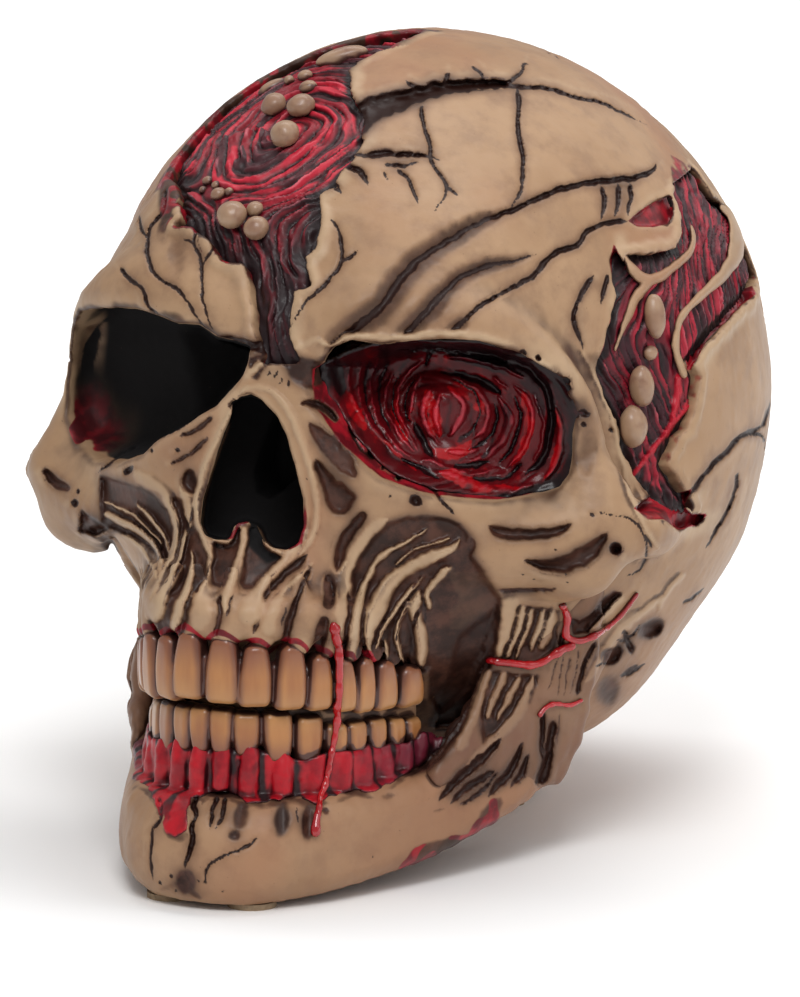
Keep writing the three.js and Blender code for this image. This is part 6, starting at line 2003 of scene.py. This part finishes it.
def paint(p, n):
    ao, cav = basic(V, p, n)
    x, y, z = p.T
    u, w = cam.proj(p)
    toward = n @ cam.back
    at, wear_and_highlight = casting_attrs(p, n)
    dark, wash = at["dark"], at["wash"]
    # pale on edges and ridge crests, kept out of occluded places: worn paint and painted highlight
    hi = np.clip(wear_and_highlight * 0.75 + at["hi"] * 0.5, 0, 1) * np.clip(1 - ao * 1.3, 0, 1)
    red = at["red"]
    blk = np.zeros(len(p))
    # sockets and nose: near-black inside, partly black paint and partly painted shade deeper in
    deep = V0(p)
    mo = MO(np.abs(x), z)
    vr = np.where((x < -4) & (y < 14) & (z > 70), OR(u, w) / PX, 9)
    inside = sstep(0.7, 2.4, deep)
    right = (x < -3) * (y < 14) * (z > 70) * (z < 124) * np.maximum(sstep(0.5, -0.6, np.minimum(mo, np.where(toward > -0.3, vr, 9))) * inside, sstep(5, 3, np.minimum(mo, vr)) * sstep(3.2, 4.6, deep))
    # near-black also on the right socket's lateral wall, which faces inwards: painted shade
    right = np.maximum(right, (x < -28) * (y < 16) * (y > -78) * (z > 70) * (z < 124) * sstep(0.12, 0.42, n[:, 0]) * sstep(0.3, -0.4, vr))
    mo = np.where(x < 0, np.minimum(mo, np.where(toward > -0.3, vr, 9)), mo)
    left = (x > 0) * (y < -5) * sstep(1.6, -0.2, mo) * inside
    lowlat = sstep(96, 80, z + 3 * N2(p, 6.0)) * sstep(36, 56, -x)
    blk = np.maximum(blk, right * (1 - 0.45 * lowlat))
    red = np.maximum(red, np.maximum(left * 0.9, right * lowlat))
    mn = np.minimum(MN(x, z), np.where((z > 60) & (z < 104), NV(u, w) / PX, 9))
    nv = np.where((z > 60) & (z < 104), NV(u, w) / PX, 9)
    nose = (y < -20) * (np.abs(x) < 18) * sstep(1.0, -0.2, mn) * sstep(0.7, 1.8, deep)
    blk = np.maximum(blk, nose)
    red = np.maximum(red, (np.abs(x) < 16) * (y < -50) * (z > 62) * (z < 100) * np.exp(-(((nv + 0.2) / 0.5) ** 2)) * sstep(82, 76, z) * 0.8)
    mine = (z > 60) & (z < 104) & (np.abs(x) < 18) & (deep > 0.6)
    dark = np.where(mine & (mn < 0.5), dark * 0.2, dark)
    # painted shade round the sockets' upper edges and between them
    wash = np.maximum(wash, (y < -20) * sstep(2.6, 0.3, mo + 1.2 * N2(p, 3.0)) * sstep(96, 108, z) * 0.75 * (deep < 1.2))
    # wound pockets and their edges
    cu, cw = chart(VC, p)
    mc = np.where(p @ VC.back > 60, MC(cu, cw), 9)
    tu, tw = chart(VT, p)
    mt = np.where(p @ VT.back > 30, MT(tu, tw), 9)
    near = 1 - sstep(-0.5, 0.5, np.minimum(mc, mt) + 0.7 * N2(p, 2.4))
    red = np.maximum(red, near * np.clip(0.42 + 0.35 * N1(p, 1.6), 0, 0.8))
    wash = np.maximum(wash, near * np.clip(0.35 - 0.4 * N2(p, 2.2), 0, 0.8))
    # the crown wound's far edge, where it turns from the view: red stain and painted shade
    far = sstep(6.0, 3.0, mc + 1.4 * N1(p, 4.0)) * (z > 112) * sstep(4, -2, x) * np.maximum(sstep(0.66, 0.48, toward) * sstep(0, -7, x), (w < np.interp(u, [150, 200, 250, 330, 400], [240, 165, 112, 64, 46])))
    red = np.maximum(red, far * sstep(-0.25, 0.2, N2(p, 2.6)) * 0.6)
    wash = np.maximum(wash, far * 0.9)
    for RP, (P, dep) in zip(TM, TORN):
        rp = np.where((x > 34) & (toward > -0.2), RP(u, w) / PX, 9)
        red = np.maximum(red, (1 - sstep(-0.2, 0.35, rp)) * 0.85)
        dark = np.maximum(dark, (1 - sstep(-0.6, 0.2, np.abs(rp) + 0.5 * N1(p, 1.8))) * 0.6)
    # painted shade in the occluded hollow behind the teeth, darkest towards the jaw
    hollow_ = (y < 10) * sstep(20, 26, np.abs(x)) * sstep(54, 48, np.abs(x)) * (z > 22) * (z < 74) * sstep(0.25, 0.55, ao)
    wash = np.maximum(wash, hollow_ * np.clip(0.45 + 0.5 * N1(p, 5.0) + 0.25 * N2(p, 1.8), 0, 0.9) * sstep(72, 50, z))
    # stain on the left of the jaw
    jr = np.where((toward > 0) & (y < -12), JAWRED(u, w) / PX, 9) + 0.9 * N1(p, 3.2)
    red = np.maximum(red, (1 - sstep(-0.6, 0.6, jr)) * 0.9 * sstep(-0.35, 0.05, N2(p, 3.6) + 0.12))
    wash = np.maximum(wash, (1 - sstep(-0.6, 0.6, jr)) * 0.8)
    # gums over the upper front teeth
    g = np.zeros(len(p))
    m = (y < -60) & (z > 46) & (z < 62)
    for c, t, nn, zm, hz, hw in UP_REF:
        if abs(c[0]) > 24:
            continue
        a = (x[m] - c[0]) * t[0] + (y[m] - c[1]) * t[1]
        top = zm + hz + 0.5 - 2.6 * (a / hw) ** 2
        g[m] = np.maximum(g[m], np.exp(-(((z[m] - top - 0.5) / 0.75) ** 2)) * (np.abs(a) < hw + 0.3))
    red = np.maximum(red, g)
    return {"ao": ao, "cav": cav, "dark": dark, "wash": wash, "soil": at["soil"], "low": sstep(62, 12, z) * (0.35 + 0.65 * sstep(-88, -62, y)), "hi": hi * (1 - 0.5 * at["soil"]), "red": red, "blk": blk}


def V0(p):
    """Depth below the uncut surface, in millimetres."""
    return -SMOOTH.sample(p)


# recess that takes the plug in the base
sl = V.box((-16, -4, -3), (16, 40, 12))
X, Y, Z = V.grid(sl)
e = (np.sqrt((X / 12.0) ** 2 + ((Y - 18) / 18.0) ** 2) - 1) * 12.0
V.a[sl] = np.maximum(V.a[sl], -np.maximum(e, Z - 7.8)).astype(np.float32)
for nm, v, node in (("skull_casting", V, "cranium_shell"), ("jaw_casting", J, "mandible")):
    p, q = quads(v, 400)
    n = normals(v, p)
    make(nm, p, q, paint(p, n), BONE, (node,))
    log(nm, len(p), len(q))

# ---- CAD nodes that stay as they are
FELT = simple_material("felt", (150, 130, 106), (138, 118, 96), 0.95, 900, 0.0, 0.1, None, 0.6)
PLUGM = simple_material("plug_plastic", (60, 56, 54), (72, 68, 64), 0.6, 120, 0.0, 0.3, None, 0.2)
for nm in ("base_plug", "pad_chin_left", "pad_chin_right", "pad_base_left", "pad_base_right"):
    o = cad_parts[nm]
    o.data.materials.clear()
    o.data.materials.append(PLUGM if nm == "base_plug" else FELT)

# ------------------------------------------------------------------ floor, light, camera
fm = Mat("floor_paint", 0.85, 0.2)
fm.color(fm.mix(fm.band(fm.noise(3, 2), 0.3, 0.7), (250, 250, 250), (246, 246, 246)))
bpy.ops.mesh.primitive_plane_add(size=14, location=(0, 0, 0))
floor = bpy.context.object
floor.name = "floor"
floor.data.materials.append(fm.m)
floor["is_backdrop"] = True


def area(name, loc, size, power, target=(0, -0.01, 0.08), color=(1, 1, 1)):
    l = bpy.data.lights.new(name, "AREA")
    l.energy, l.size, l.color = power, size, color
    o = bpy.data.objects.new(name, l)
    bpy.context.scene.collection.objects.link(o)
    o.location = loc
    o.rotation_euler = (Vector(target) - Vector(loc)).to_track_quat("-Z", "Y").to_euler()
    return o


area("key", (0.43, -0.92, 1.22), 0.55, 11.3)
area("fill", (1.3, -0.1, 0.8), 0.9, 3)
area("back", (0.3, 1.1, 0.9), 0.9, 2)
area("backdrop_light", (0, 0.6, 1.7), 1.6, 34, target=(0, 2.6, 0))
wd = bpy.data.worlds.new("studio")
bpy.context.scene.world = wd
wd.use_nodes = True
wd.node_tree.nodes["Background"].inputs["Color"].default_value = (1, 1, 1, 1)
wd.node_tree.nodes["Background"].inputs["Strength"].default_value = 0.44

cd = bpy.data.cameras.new("view")
cd.lens = VIEW["F"] / 997.0 * 36.0
cd.sensor_width = 36.0
cd.clip_end = 20.0
co = bpy.data.objects.new("view", cd)
bpy.context.scene.collection.objects.link(co)
co.location = Vector([float(t) for t in cam.C / 1000.0])
co.rotation_euler = Vector([float(t) for t in -cam.back]).to_track_quat("-Z", "Y").to_euler()
bpy.context.scene.camera = co
bpy.context.scene.view_settings.view_transform = "Standard"

END_BOX = [list(c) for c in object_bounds()]
log("done", CAD_BOX, END_BOX)
